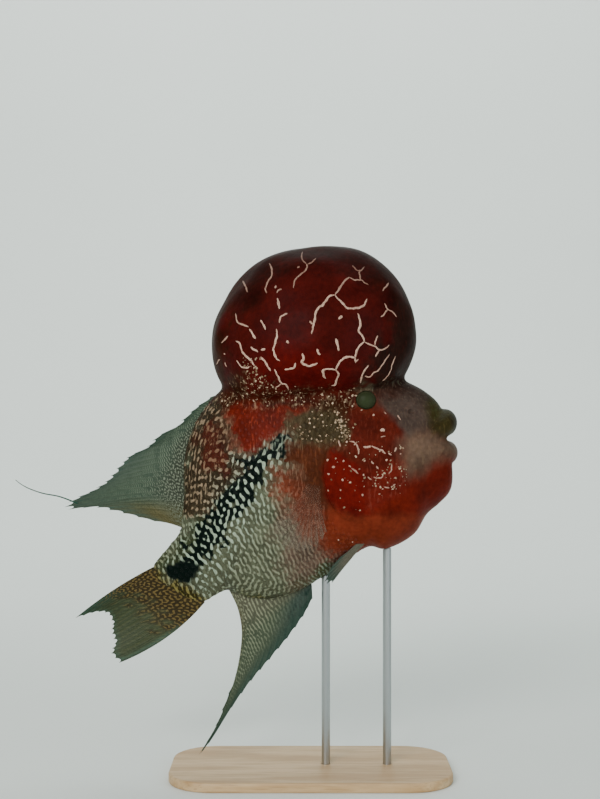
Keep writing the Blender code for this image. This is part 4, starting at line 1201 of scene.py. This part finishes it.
def dorsal_colours(grid):
    s, v, ray = grid["share"], grid["v"], grid["relief"]
    return {
        "tone": tones(
            "38473a", ("32372c", 1 - ease(v, 0.05, 0.4)),
            ("2f4237", band(s, 0.0, 0.5, 0.1) * ease(v, 0.6, 0.95)),
            ("24413a", ease(v, 0.9, 1.0) * 0.8), ("48462c", ease(s, 0.78, 0.95) * (1 - ease(v, 0.5, 0.9))),
            ("263a30", ease(s, 0.4, 0.65) * (1 - ease(s, 0.72, 0.85)) * ease(v, 0.8, 1.0)),
            ("26332a", ray * ease(v, 0.3, 0.6) * 0.5),
        ),
        "mark": tones("62705c", ("82784f", ease(s, 0.75, 0.95)), ("737b69", 1 - ease(v, 0.1, 0.5))),
        "strength": 0.75 * (1 - ease(v, 0.35, 0.9)) + 0.12,
        "net": 1 - ease(v, 0.1, 0.4),
    }


def anal_colours(grid):
    s, v, ray = grid["share"], grid["v"], grid["relief"]
    front = 1 - ease(s, 0.12, 0.45)
    torn = ease(torn_patches(grid, 9.0, 81), 0.2, 1.0) * (1 - ease(s, 0.05, 0.35)) * ease(v, 0.2, 0.5)
    return {
        "tone": tones(
            "3f4838", ("35413a", front), ("1a2f28", torn), ("2b3f36", ease(v, 0.55, 0.95)),
            ("4c4122", ease(s, 0.72, 0.92) * (1 - ease(v, 0.25, 0.5))), ("4f4f40", 1 - ease(v, 0.04, 0.32)),
            ("22362d", ray * ease(v, 0.3, 0.6) * 0.5),
        ),
        "mark": tones(
            "727a63", ("82784d", ease(s, 0.7, 0.92)), ("506259", front), ("85886f", 1 - ease(v, 0.1, 0.4))),
        "strength": (1 - ease(v, 0.4, 0.8)) * (0.15 + 0.7 * ease(s, 0.2, 0.6)),
        "net": 0.8 * ease(s, 0.6, 0.9),
    }


def caudal_colours(grid):
    s, v, ray = grid["share"], grid["v"], grid["relief"]
    gold = 1 - ease(v + 0.3 * (s - 0.5) + 0.07 * torn_patches(grid, 8.0, 82), 0.35, 0.8)
    return {
        "tone": tones(
            "3d432c", ("2f3724", 1 - ease(s, 0.1, 0.5)), ("2c2412", gold),
            ("2c2712", 1 - ease(v, 0.0, 0.12)), ("2a4438", (1 - ease(s, 0.02, 0.22)) * ease(v, 0.35, 0.8)),
            ("385244", ease(v, 0.92, 1.0) * 0.6),
            ("3f5547", ease(s, 0.93, 1.0) * ease(v, 0.2, 0.6)), ("1f2c20", ray * ease(v, 0.35, 0.6) * 0.8),
        ),
        "mark": tones("535a3e", ("6a5830", gold)),
        "strength": 0.85 * gold + 0.2 * (1 - gold),
        "net": gold,
    }


def side_fin(name, sizes, root, side, colours, finish):
    """A fan of rays from a narrow root on one side of the body."""
    mirror = np.array([1.0, -side, 1.0])
    along, across = np.array(sizes["along"]) * mirror, np.array(sizes["across"]) * mirror
    along /= np.linalg.norm(along)
    across -= along * (across @ along)
    across /= np.linalg.norm(across)
    normal = np.cross(along, across)
    share = np.linspace(-1, 1, (sizes["rays"] - 1) * SIDE_FIN_COLUMNS + 1)[:, None]
    v = np.linspace(0, 1, SIDE_FIN_ROWS)[None]
    place = (share + 1) / 2 * (sizes["rays"] - 1)
    notch = 1 - NOTCH * 1.2 * np.abs(np.sin(math.pi * place)) ** 0.7
    length = sizes["length"] * (1 - 0.28 * share**2 - sizes["lean"] * share) * notch
    out = v * length - SUNK * (1 - v)
    fan = share * sizes["spread"] * (0.4 + 0.6 * v)
    centre = (
        np.array(root)
        + along * (out * np.cos(fan))[..., None]
        + across * (share * sizes["root_width"] / 2 + out * np.sin(fan))[..., None]
        + normal * (sizes["curl"] * (v * v - 0.5 * share**2 * v) * side)[..., None]
    )
    centre[..., 1] -= side * sizes["tuck"] * (1 - v) ** 6
    relief = ray_relief(place + 0 * v, v + 0 * share, 0.45)
    half = FIN_MEMBRANE / 2 * (1 - 0.5 * v) + np.maximum(0, 1 - 4 * v) * 0.6
    half = half + relief * FIN_RAY / 2 * (1 - 0.75 * v)
    root_tone, tip_tone, mark = colours
    traits = {
        "tone": tones(root_tone, (tip_tone, ease(v, 0.45, 1.0) + 0 * share)),
        "mark": tones(mark, (mark, 0 * half)),
        "strength": 0.35 * (1 - v) + 0 * share,
        "grain": np.stack([place + 0 * v, out / 1.92, 0 * out], axis=-1),
        "net": 0 * out,
        "ray": relief,
    }
    return blade(name, centre, normal, half, traits, finish)


def trailing_thread(finish):
    """The long thread that the dorsal fin's last ray draws out into."""
    share = np.linspace(0, 1, THREAD_STEPS)
    line = evenly(THREAD, share)
    radius = mix(0.45, 0.2, share)[:, None]
    angle = np.arange(THREAD_SPOKES) * 2 * math.pi / THREAD_SPOKES
    slope = np.gradient(line, axis=0)
    slope /= np.linalg.norm(slope, axis=1)[:, None]
    loops = np.stack([
        line[:, :1] - slope[:, 1:] * radius * np.cos(angle),
        radius * np.sin(angle) + 0 * line[:, :1],
        line[:, 1:] + slope[:, :1] * radius * np.cos(angle),
    ], axis=-1)
    swing, waves, phase = DORSAL["wave"]
    loops[..., 1] += swing * math.sin(waves * math.pi * 0.7 + phase)
    points = np.vstack([loops.reshape(-1, 3), loops[0].mean(axis=0), loops[-1].mean(axis=0)])
    count = THREAD_STEPS * THREAD_SPOKES
    faces = tube_triangles(THREAD_STEPS, THREAD_SPOKES, count, count + 1)
    obj = new_mesh("dorsal_thread", swung(points), faces)
    put(obj.data, "tone", np.tile(srgb("1e4438"), (len(points), 1)))
    put(obj.data, "mark", np.tile(srgb("3a6455"), (len(points), 1)))
    put(obj.data, "grain", points / 3.6)
    for name, value in (("strength", 0.3), ("net", 0.0), ("ray", 0.0)):
        put(obj.data, name, np.full(len(points), value))
    obj.data.materials.append(finish)
    return obj


# Eyes

EYE_PUPIL, EYE_IRIS = 4.7, 5.8
IRIS_BLOT = 2.64


def eyeball(name, surface_hit, side, finish):
    centre = eye_centre(surface_hit, side)
    rings, spokes = 72, 72
    tilt = np.repeat(math.pi * np.arange(1, rings) / rings, spokes)
    turn = np.tile(2 * math.pi * np.arange(spokes) / spokes, rings - 1)
    way = np.column_stack([np.sin(tilt) * np.cos(turn), np.cos(tilt) * side, np.sin(tilt) * np.sin(turn)])
    way = np.vstack([way, (0, side, 0), (0, -side, 0)])
    away = np.hypot(way[:, 0], way[:, 2]) * EYE_RADIUS
    front = way[:, 1] * side > 0
    groove = -0.06 * band(away, EYE_IRIS - 0.15, EYE_IRIS + 0.15, 0.25) * front
    bulge = 0.1 * (1 - ease(away, EYE_PUPIL - 1.2, EYE_PUPIL + 0.3)) * front
    shape = way * (EYE_RADIUS - 0.15 + groove + bulge)[:, None] * (1, EYE_FLAT, 1)
    count = (rings - 1) * spokes
    faces = tube_triangles(rings - 1, spokes, count, count + 1)
    if side > 0:
        faces = faces[:, ::-1]
    obj = new_mesh(name, shape + centre, faces)
    put(obj.data, "away", np.where(front, away, 20.0))
    put(obj.data, "spoke", np.column_stack([way[:, 0], way[:, 2], 0 * away]) * EYE_RADIUS * MM)
    obj.data.materials.append(finish)
    return obj


# Materials

WAVE_TILT = 0.6  # how far, in radians, the waves of the marks lean out of the fish's middle plane
WAVES = 9  # how many waves make up one field of marks
COLOUR = {"data_type": "RGBA"}  # for a Mix node of colours: its inputs are 0 share, 6 under and 7 over
SOFT = {"interpolation_type": "SMOOTHSTEP"}  # for a Map Range node: its inputs are value, from and to


def node(tree, kind, inputs=(), output=0, **settings):
    """Adds one shader node with its settings and links, and gives one of its outputs.

    Inputs are plain values, colours as written on paper or outputs of other nodes. They are listed in the
    order of the sockets, or by their names or numbers.
    """
    made = tree.nodes.new("ShaderNode" + kind)
    for key, value in settings.items():
        setattr(made, key, value)
    named = inputs if isinstance(inputs, dict) else dict(enumerate(inputs))
    for key, value in named.items():
        if isinstance(value, bpy.types.NodeSocket):
            tree.links.new(value, made.inputs[key])
        else:
            made.inputs[key].default_value = paint(value) if isinstance(value, str) else value
    return made.outputs[output]


def paint(text):
    return (*srgb(text), 1.0)


def material(name, shader_inputs, build):
    """A material with one Principled shader. build fills in what isn't a plain value."""
    made = bpy.data.materials.new(name)
    made.use_nodes = True
    tree = made.node_tree
    tree.nodes.clear()
    shader = node(tree, "BsdfPrincipled", {**shader_inputs, **build(tree)})
    tree.links.new(shader, tree.nodes.new("ShaderNodeOutputMaterial").inputs[0])
    return made


def blots(tree, place, size_mm, detail, low, high):
    """Soft-edged blots about so many millimetres across: 1 inside them and 0 between."""
    field = node(tree, "TexNoise", {"Vector": place, "Scale": 1 / (size_mm * MM), "Detail": detail})
    return node(tree, "MapRange", (field, low, high), **SOFT)


def labyrinth(tree, place, wavelength, seed, way=0.0, spread=180.0):
    """The same kind of field as ripples, as shader nodes: waves whose crests join into worms and dots."""
    rng = np.random.default_rng(seed)
    total = 0.0
    for _ in range(WAVES):
        angle = math.radians(way + rng.uniform(-spread, spread))
        size = 2 * math.pi / (wavelength * rng.uniform(0.9, 1.12))
        tilt = rng.uniform(-WAVE_TILT, WAVE_TILT)
        wave = (math.cos(angle) * size, math.sin(angle) * size, math.sin(tilt) * size)
        along = node(tree, "VectorMath", (place, wave), "Value", operation="DOT_PRODUCT")
        shifted = node(tree, "Math", (along, rng.uniform(0, 2 * math.pi)), operation="ADD")
        crest = node(tree, "Math", (shifted,), operation="COSINE")
        total = node(tree, "Math", (total, crest), operation="ADD")
    return node(tree, "Math", (total, math.sqrt(WAVES / 2)), operation="DIVIDE")


def marks(tree):
    """Pale marks that run on from plate to plate: worms on the flank, bolder ones at the flower line, dots
    along the dorsal fin and streaks on the nape."""
    weave = node(tree, "Attribute", (), "Vector", attribute_name="weave")
    line = labyrinth(tree, weave, FLANK_WEAVE, 61, 0, 42)
    # where each other weave shows, its field, and how much thinner its marks are drawn
    others = (
        ("turned", labyrinth(tree, weave, FLANK_WEAVE, 62, 90, 42), 0.0),
        ("bold", labyrinth(tree, weave, BOLD_WEAVE, 63, 0, 110), 0.2),
        ("dotted", labyrinth(tree, weave, DOT_WEAVE, 64), 0.4),
    )
    for name, field, thinner in others:
        where = node(tree, "Attribute", (), "Fac", attribute_name=name)
        thin = node(tree, "Math", (field, thinner), operation="SUBTRACT")
        line = node(tree, "Mix", {0: where, 2: line, 3: thin})
    line = node(tree, "MapRange", (line, 0.2, 0.65), **SOFT)
    place = node(tree, "TexCoord", (), "Object")
    long = node(tree, "Mapping", {"Vector": place, "Rotation": (0, 0.3, 0), "Scale": (1, 1, 0.2)})
    streaked = node(tree, "Attribute", (), "Fac", attribute_name="streaked")
    line = node(tree, "Mix", {0: streaked, 2: line, 3: blots(tree, long, 1.2, 2, 0.54, 0.7)})
    solid = node(tree, "Attribute", (), "Fac", attribute_name="solid")
    open_skin = node(tree, "Math", (1.0, solid), operation="SUBTRACT")
    line = node(tree, "Math", (line, open_skin), operation="MULTIPLY")
    grain = node(tree, "TexNoise", {"Vector": place, "Scale": 1 / (SKIN_GRAIN * MM)})
    worn = node(tree, "Math", (grain, 0.6, 0.55), operation="MULTIPLY_ADD")
    return node(tree, "Math", (line, worn), operation="MULTIPLY")


def skin_look(tree):
    """Bare skin: zone colours, mottled and flecked, with fine pores."""
    place = node(tree, "TexCoord", (), "Object")
    tone, mark = (node(tree, "Attribute", (), "Color", attribute_name=name) for name in ("tone", "mark"))
    fleck, black, scaled = (
        node(tree, "Attribute", (), "Fac", attribute_name=name) for name in ("fleck", "black", "scaled"))
    long = node(tree, "Mapping", {"Vector": place, "Rotation": (0, 0.5, 0), "Scale": (1, 1, 0.28)})
    flecks = node(tree, "Math", (blots(tree, long, 1.3, 2, 0.52, 0.66), fleck), operation="MULTIPLY")
    shade = node(tree, "Math", (blots(tree, place, 2.2, 3, 0.3, 0.72), 0.28), operation="MULTIPLY")
    marked = node(tree, "Math", (marks(tree), scaled), operation="MULTIPLY")
    layers = (
        ("MIX", flecks, mark), ("MULTIPLY", shade, "8a7a70"), ("MIX", black, BLACK), ("MIX", marked, mark))
    for way, share, colour in layers:
        tone = node(tree, "Mix", {0: share, 6: tone, 7: colour}, 2, blend_type=way, **COLOUR)
    # pores are drawn as coarse as they need to show, over swellings of half a centimetre
    pores = node(tree, "TexNoise", {"Vector": place, "Scale": 1 / (0.55 * MM), "Detail": 3})
    swell = node(tree, "TexNoise", {"Vector": place, "Scale": 1 / (5 * MM)})
    height = node(tree, "Math", (pores, 0.25, swell), operation="MULTIPLY_ADD")
    rough = node(tree, "Math", (pores, 0.25, 0.3), operation="MULTIPLY_ADD")
    normal = node(tree, "Bump", {"Height": height, "Distance": 0.22 * MM})
    return {"Base Color": tone, "Roughness": rough, "Normal": normal}


def scale_look(tree):
    """One plate: zone colour, painted shade at the root, with pale broken lines that run on to its
    neighbours.
    """
    place = node(tree, "TexCoord", (), "Object")
    local = node(tree, "Attribute", (), "Vector", attribute_name="local")
    along = node(tree, "SeparateXYZ", (local,), 1)
    tone, mark = (node(tree, "Attribute", (), "Color", attribute_name=name) for name in ("tone", "mark"))
    black = node(tree, "Attribute", (), "Fac", attribute_name="black")
    # painted shade: each plate is darkened towards its root, where the plates before it lie over it
    painted_root_shade = node(tree, "MapRange", (along, 0.62, 0.35), **SOFT)
    line = marks(tree)
    for way, share, colour in (("MULTIPLY", painted_root_shade, "b0b0b0"), ("MIX", black, BLACK), ("MIX", line, mark)):
        tone = node(tree, "Mix", {0: share, 6: tone, 7: colour}, 2, blend_type=way, **COLOUR)
    turn = node(tree, "Math", (along, 2 * math.pi * SCALE_LENGTH / GROWTH_RING), operation="MULTIPLY")
    growth = node(tree, "Math", (turn,), operation="SINE")
    grain = node(tree, "TexNoise", {"Vector": place, "Scale": 1 / (SKIN_GRAIN * MM)})
    relief = node(tree, "Math", (grain, line), operation="ADD")
    height = node(tree, "Math", (growth, 0.12, relief), operation="MULTIPLY_ADD")
    return {"Base Color": tone, "Normal": node(tree, "Bump", {"Height": height, "Distance": 0.06 * MM})}


def pearl_look(tree):
    """Pearl: cream with worn, warmer patches."""
    place = node(tree, "TexCoord", (), "Object")
    tone = node(tree, "Attribute", (), "Color", attribute_name="tone")
    grain = node(tree, "TexNoise", {"Vector": place, "Scale": 1 / (0.5 * MM)})
    worn = node(tree, "MapRange", (grain, 0.35, 0.75), **SOFT)
    tone = node(tree, "Mix", {0: worn, 6: tone, 7: "b08a7c"}, 2, blend_type="MULTIPLY", **COLOUR)
    return {"Base Color": tone, "Normal": node(tree, "Bump", {"Height": grain, "Distance": 0.05 * MM})}


def fin_look(tree):
    """Fin skin: painted tone, pale broken lines along the rays, the ray ridges a little lighter."""
    place = node(tree, "TexCoord", (), "Object")
    tone, mark = (node(tree, "Attribute", (), "Color", attribute_name=name) for name in ("tone", "mark"))
    net, strength, ray = (
        node(tree, "Attribute", (), "Fac", attribute_name=name) for name in ("net", "strength", "ray"))
    grain = node(tree, "Attribute", (), "Vector", attribute_name="grain")  # counted in wavelengths
    drawn = node(tree, "Mapping", {"Vector": grain, "Scale": (1, 0.4, 1)})
    lined, netted = labyrinth(tree, drawn, 1, 71, 0, 48), labyrinth(tree, grain, 1, 72)
    field = node(tree, "Mix", {0: net, 2: lined, 3: netted})
    line = node(tree, "MapRange", (field, 0.2, 0.75), **SOFT)
    line = node(tree, "Math", (line, strength), operation="MULTIPLY")
    ridge = node(tree, "Math", (ray, 0.16), operation="MULTIPLY")
    small = node(tree, "TexNoise", {"Vector": place, "Scale": 1 / (0.9 * MM), "Detail": 3})
    dull = node(tree, "MapRange", (small, 0.35, 0.7, 0.0, 0.3), **SOFT)
    for way, share, colour in (("MIX", ridge, mark), ("MIX", line, mark), ("MULTIPLY", dull, "7d857d")):
        tone = node(tree, "Mix", {0: share, 6: tone, 7: colour}, 2, blend_type=way, **COLOUR)
    height = node(tree, "Math", (small, line), operation="ADD")
    return {"Base Color": tone, "Normal": node(tree, "Bump", {"Height": height, "Distance": 0.08 * MM})}


def clear_fin_look(tree):
    """Pectoral fin: the same, but so thin between its rays that the flank shows through."""
    ray = node(tree, "Attribute", (), "Fac", attribute_name="ray")
    thick = node(tree, "Math", (ray, 0.22, 0.1), operation="MULTIPLY_ADD")
    return {**fin_look(tree), "Alpha": thick}


def eye_look(tree):
    """A clouded olive pupil in an iris of nearly the same olive, dull as seen through water."""
    away = node(tree, "Attribute", (), "Fac", attribute_name="away")
    spoke = node(tree, "Attribute", (), "Vector", attribute_name="spoke")
    clouded = node(tree, "MapRange", (away, 0.4, 4.2), **SOFT)
    tone = node(tree, "Mix", {0: clouded, 6: "2c3420", 7: "2a301e"}, 2, **COLOUR)
    mottled = blots(tree, spoke, IRIS_BLOT, 4, 0.35, 0.65)
    iris = node(tree, "Mix", {0: mottled, 6: "2b2f1e", 7: "353826"}, 2, **COLOUR)
    for edge, inner, outer, colour in ((EYE_PUPIL, 0.25, 0.2, iris), (EYE_IRIS, 0.1, 0.35, "3a3226")):
        outside = node(tree, "MapRange", (away, edge - inner, edge + outer), **SOFT)
        tone = node(tree, "Mix", {0: outside, 6: tone, 7: colour}, 2, **COLOUR)
    return {"Base Color": tone}


def wood_look(tree):
    """Pale maple under oil: long growth rings along X, fine open grain."""
    place = node(tree, "TexCoord", (), "Object")
    long, longer = (node(tree, "Mapping", {"Vector": place, "Scale": (x, 1, 1)}) for x in (0.12, 0.05))
    rings = node(tree, "TexNoise", {"Vector": long, "Scale": 1 / (9 * MM), "Detail": 4, "Roughness": 0.6})
    late_wood = node(tree, "MapRange", (rings, 0.35, 0.65), **SOFT)
    # open pores are a tenth of a millimetre wide in life, and drawn here as coarse as they need to show
    grain = node(tree, "TexNoise", {"Vector": longer, "Scale": 1 / (0.8 * MM), "Detail": 3})
    open_pores = node(tree, "MapRange", (grain, 0.5, 0.7, 0.0, 0.4), **SOFT)
    tone = node(tree, "Mix", {0: late_wood, 6: "c9ab82", 7: "b08c60"}, 2, **COLOUR)
    tone = node(tree, "Mix", {0: open_pores, 6: tone, 7: "8d6b45"}, 2, **COLOUR)
    return {"Base Color": tone, "Normal": node(tree, "Bump", {"Height": grain, "Distance": 0.03 * MM})}


def steel_look(tree):
    """Steel rod, turned and brushed: fine rings round it."""
    place = node(tree, "TexCoord", (), "Object")
    flat = node(tree, "Mapping", {"Vector": place, "Scale": (0.1, 0.1, 1)})
    # turning marks are finer in life, and drawn here as coarse as they need to show
    rings = node(tree, "TexNoise", {"Vector": flat, "Scale": 1 / (0.25 * MM)})
    rough = node(tree, "Math", (rings, 0.16, 0.24), operation="MULTIPLY_ADD")
    return {"Roughness": rough, "Normal": node(tree, "Bump", {"Height": rings, "Distance": 0.008 * MM})}


def floor_look(tree):
    place = node(tree, "TexCoord", (), "Object")
    dust = node(tree, "TexNoise", {"Vector": place, "Scale": 1 / (300 * MM)})
    return {"Base Color": node(tree, "Mix", {0: dust, 6: "e2e8e4", 7: "e8edea"}, 2, **COLOUR)}


def materials():
    """Every finish by its short name: its full name, its plain shader values and its look."""
    dull = {"Specular IOR Level": 0.11}
    glow = {"Subsurface Weight": 0.08, "Subsurface Radius": (1.0, 0.35, 0.2), "Subsurface Scale": 1.5 * MM}
    rows = {
        # living skin under its slime coat, as under water: hardly a shine, a little red glow at thin edges
        "skin": ("slime_coated_skin", {"Specular IOR Level": 0.025, **glow}, skin_look),
        # overlapping bony plates under the same slime: each catches its own small light
        "scale": ("pearled_bony_scale", {"Specular IOR Level": 0.06, "Roughness": 0.4}, scale_look),
        # raised guanine pearls: opaque, slightly waxy, brighter than the skin
        "pearl": ("raised_guanine_pearl", {**dull, "Roughness": 0.38}, pearl_look),
        # thin skin drawn over bony rays: dull, with the rays as fine ribs
        "fin": ("ray_stretched_fin_skin", {**dull, "Roughness": 0.45}, fin_look),
        # the pectoral's skin is clear: a veil over the flank
        "clear_fin": ("clear_ray_stretched_fin_skin", {**dull, "Roughness": 0.45}, clear_fin_look),
        # clouded cornea under water: a soft disc with a faint broad light
        "eye": ("wet_cornea_over_iris", {"Roughness": 0.4, "Specular IOR Level": 0.05}, eye_look),
        # oiled maple, sanded by machine: warm and low in shine
        "wood": ("sanded_oiled_maple", {"Roughness": 0.48, "Specular IOR Level": 0.4}, wood_look),
        # stainless rod, brushed on a lathe: narrow stretched lights
        "steel": ("lathe_brushed_steel", {"Base Color": "a9adaf", "Metallic": 1.0}, steel_look),
        # matt painted sweep: no shine, only a soft shadow
        "floor": ("matt_painted_sweep", {"Roughness": 0.9, "Specular IOR Level": 0.2}, floor_look),
    }
    return {short: material(*row) for short, row in rows.items()}


# Studio

FLOOR_HALF, FLOOR_FRONT, FLOOR_BACK = 3000.0, -3000.0, 900.0
SWEEP_RADIUS, WALL_TOP = 700.0, 3200.0
FISH_MIDDLE = (0.0, 0.0, 0.18)
# Each light, in metres: name, place, what it looks at, width and height, watts, colour
LIGHTS = (
    ("key", (-0.5, -1.15, 0.75), FISH_MIDDLE, (0.6, 0.6), 17.0, (1.0, 0.98, 0.95)),
    ("fill", (0.95, -0.9, 0.35), FISH_MIDDLE, (0.8, 0.8), 6.0, (0.93, 0.98, 1.0)),
    ("top", (0.1, 0.35, 1.2), FISH_MIDDLE, (0.8, 0.6), 2.5, (0.95, 1.0, 0.98)),
    ("backdrop", (0.0, 0.7, 1.3), (0.0, 1.6, 0.5), (2.4, 0.8), 22.0, (0.97, 1.0, 0.98)),
)


def sweep(finish):
    """A floor that curves up into a wall."""
    bend = np.linspace(0, math.pi / 2, 24)
    line = [(FLOOR_FRONT, 0.0)]
    line += [(FLOOR_BACK + SWEEP_RADIUS * math.sin(b), SWEEP_RADIUS * (1 - math.cos(b))) for b in bend]
    line += [(FLOOR_BACK + SWEEP_RADIUS, WALL_TOP)]
    points = [(x, y, z) for y, z in line for x in (-FLOOR_HALF, FLOOR_HALF)]
    faces = [(2 * k, 2 * k + 1, 2 * k + 3, 2 * k + 2) for k in range(len(line) - 1)]
    obj = new_mesh("studio_floor", points, faces)
    MESHES.remove(obj)
    obj.data.materials.append(finish)


def area_light(name, place, target, size, power, colour):
    data = bpy.data.lights.new(name, "AREA")
    data.shape, data.size, data.size_y = "RECTANGLE", *size
    data.energy, data.color = power, colour
    obj = bpy.data.objects.new(name, data)
    obj.location = place
    obj.rotation_euler = (Vector(target) - Vector(place)).to_track_quat("-Z", "Y").to_euler()
    bpy.context.scene.collection.objects.link(obj)


def studio(finishes):
    sweep(finishes["floor"])
    for row in LIGHTS:
        area_light(*row)
    world = bpy.data.worlds.new("pale_room")
    bpy.context.scene.world = world
    world.use_nodes = True
    background = world.node_tree.nodes["Background"]
    background.inputs["Color"].default_value = paint("c9d6d0")
    background.inputs["Strength"].default_value = 0.45


def camera():
    data = bpy.data.cameras.new("camera")
    data.sensor_fit, data.sensor_height = "VERTICAL", CAMERA_SENSOR
    data.lens, data.clip_start = CAMERA_LENS, 0.01
    obj = bpy.data.objects.new("camera", data)
    obj.location = Vector(CAMERA) * MM
    obj.rotation_euler = (math.pi / 2, 0, 0)
    bpy.context.scene.collection.objects.link(obj)
    bpy.context.scene.camera = obj


def body(finishes):
    """The skin with its scales and pearls."""
    points, quads = sculpt()
    surface = Surface(points, quads)
    skin = new_mesh("skin", points, quads)
    tone, mark, fleck, black, solid = hide(points)
    scaled = 1 - within(seen(points), BARE, 1.5)
    plain = {"tone": tone, "mark": mark, "fleck": fleck, "black": black, "solid": solid, "scaled": scaled}
    for name, values in (plain | weave_traits(points)).items():
        put(skin.data, name, values)
    skin.data.materials.append(finishes["skin"])
    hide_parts("nuchal_hump", "head", "torso", "tail_stalk", "upper_lip", "lower_lip",
                "gill_cover_right", "gill_cover_left")
    scales(surface, finishes["scale"])
    pearls(surface, finishes["pearl"])


def fins_and_eyes(finishes):
    fins = {
        "dorsal_fin": midline_fin("dorsal_vane", DORSAL, dorsal_colours, finishes["fin"]),
        "anal_fin": midline_fin("anal_vane", ANAL, anal_colours, finishes["fin"]),
        "caudal_fin": midline_fin("caudal_vane", CAUDAL, caudal_colours, finishes["fin"]),
    }
    trailing_thread(finishes["fin"])
    body_tree = tree_of(*body_solid())
    for side, label in ((-1, "right"), (1, "left")):
        hit, _ = side_point(body_tree, *PECTORAL["root"], side)
        fins[f"pectoral_fin_{label}"] = side_fin(
            f"pectoral_vane_{label}", PECTORAL, hit, side, PECTORAL_COLOURS, finishes["clear_fin"])
        root = (PELVIC["root"][0], side * PELVIC_SIDE, PELVIC["root"][1])
        fins[f"pelvic_fin_{label}"] = side_fin(
            f"pelvic_vane_{label}", PELVIC, root, side, PELVIC_COLOURS, finishes["fin"])
        hit, _ = side_point(body_tree, *EYE_CENTRE, side)
        eye = eyeball(f"eyeball_{label}", hit, side, finishes["eye"])
        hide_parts(f"eye_{label}")
    for replaced, piece in fins.items():
        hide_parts(replaced)


def main():
    finishes = materials()
    body(finishes)
    fins_and_eyes(finishes)
    for piece in MESHES:
        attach(piece, "root")
    for name, finish in (("stand_base", "wood"), ("stand_rod_front", "steel"), ("stand_rod_rear", "steel")):
        bpy.data.objects[name].data.materials[0] = finishes[finish]
    studio(finishes)
    camera()


main()
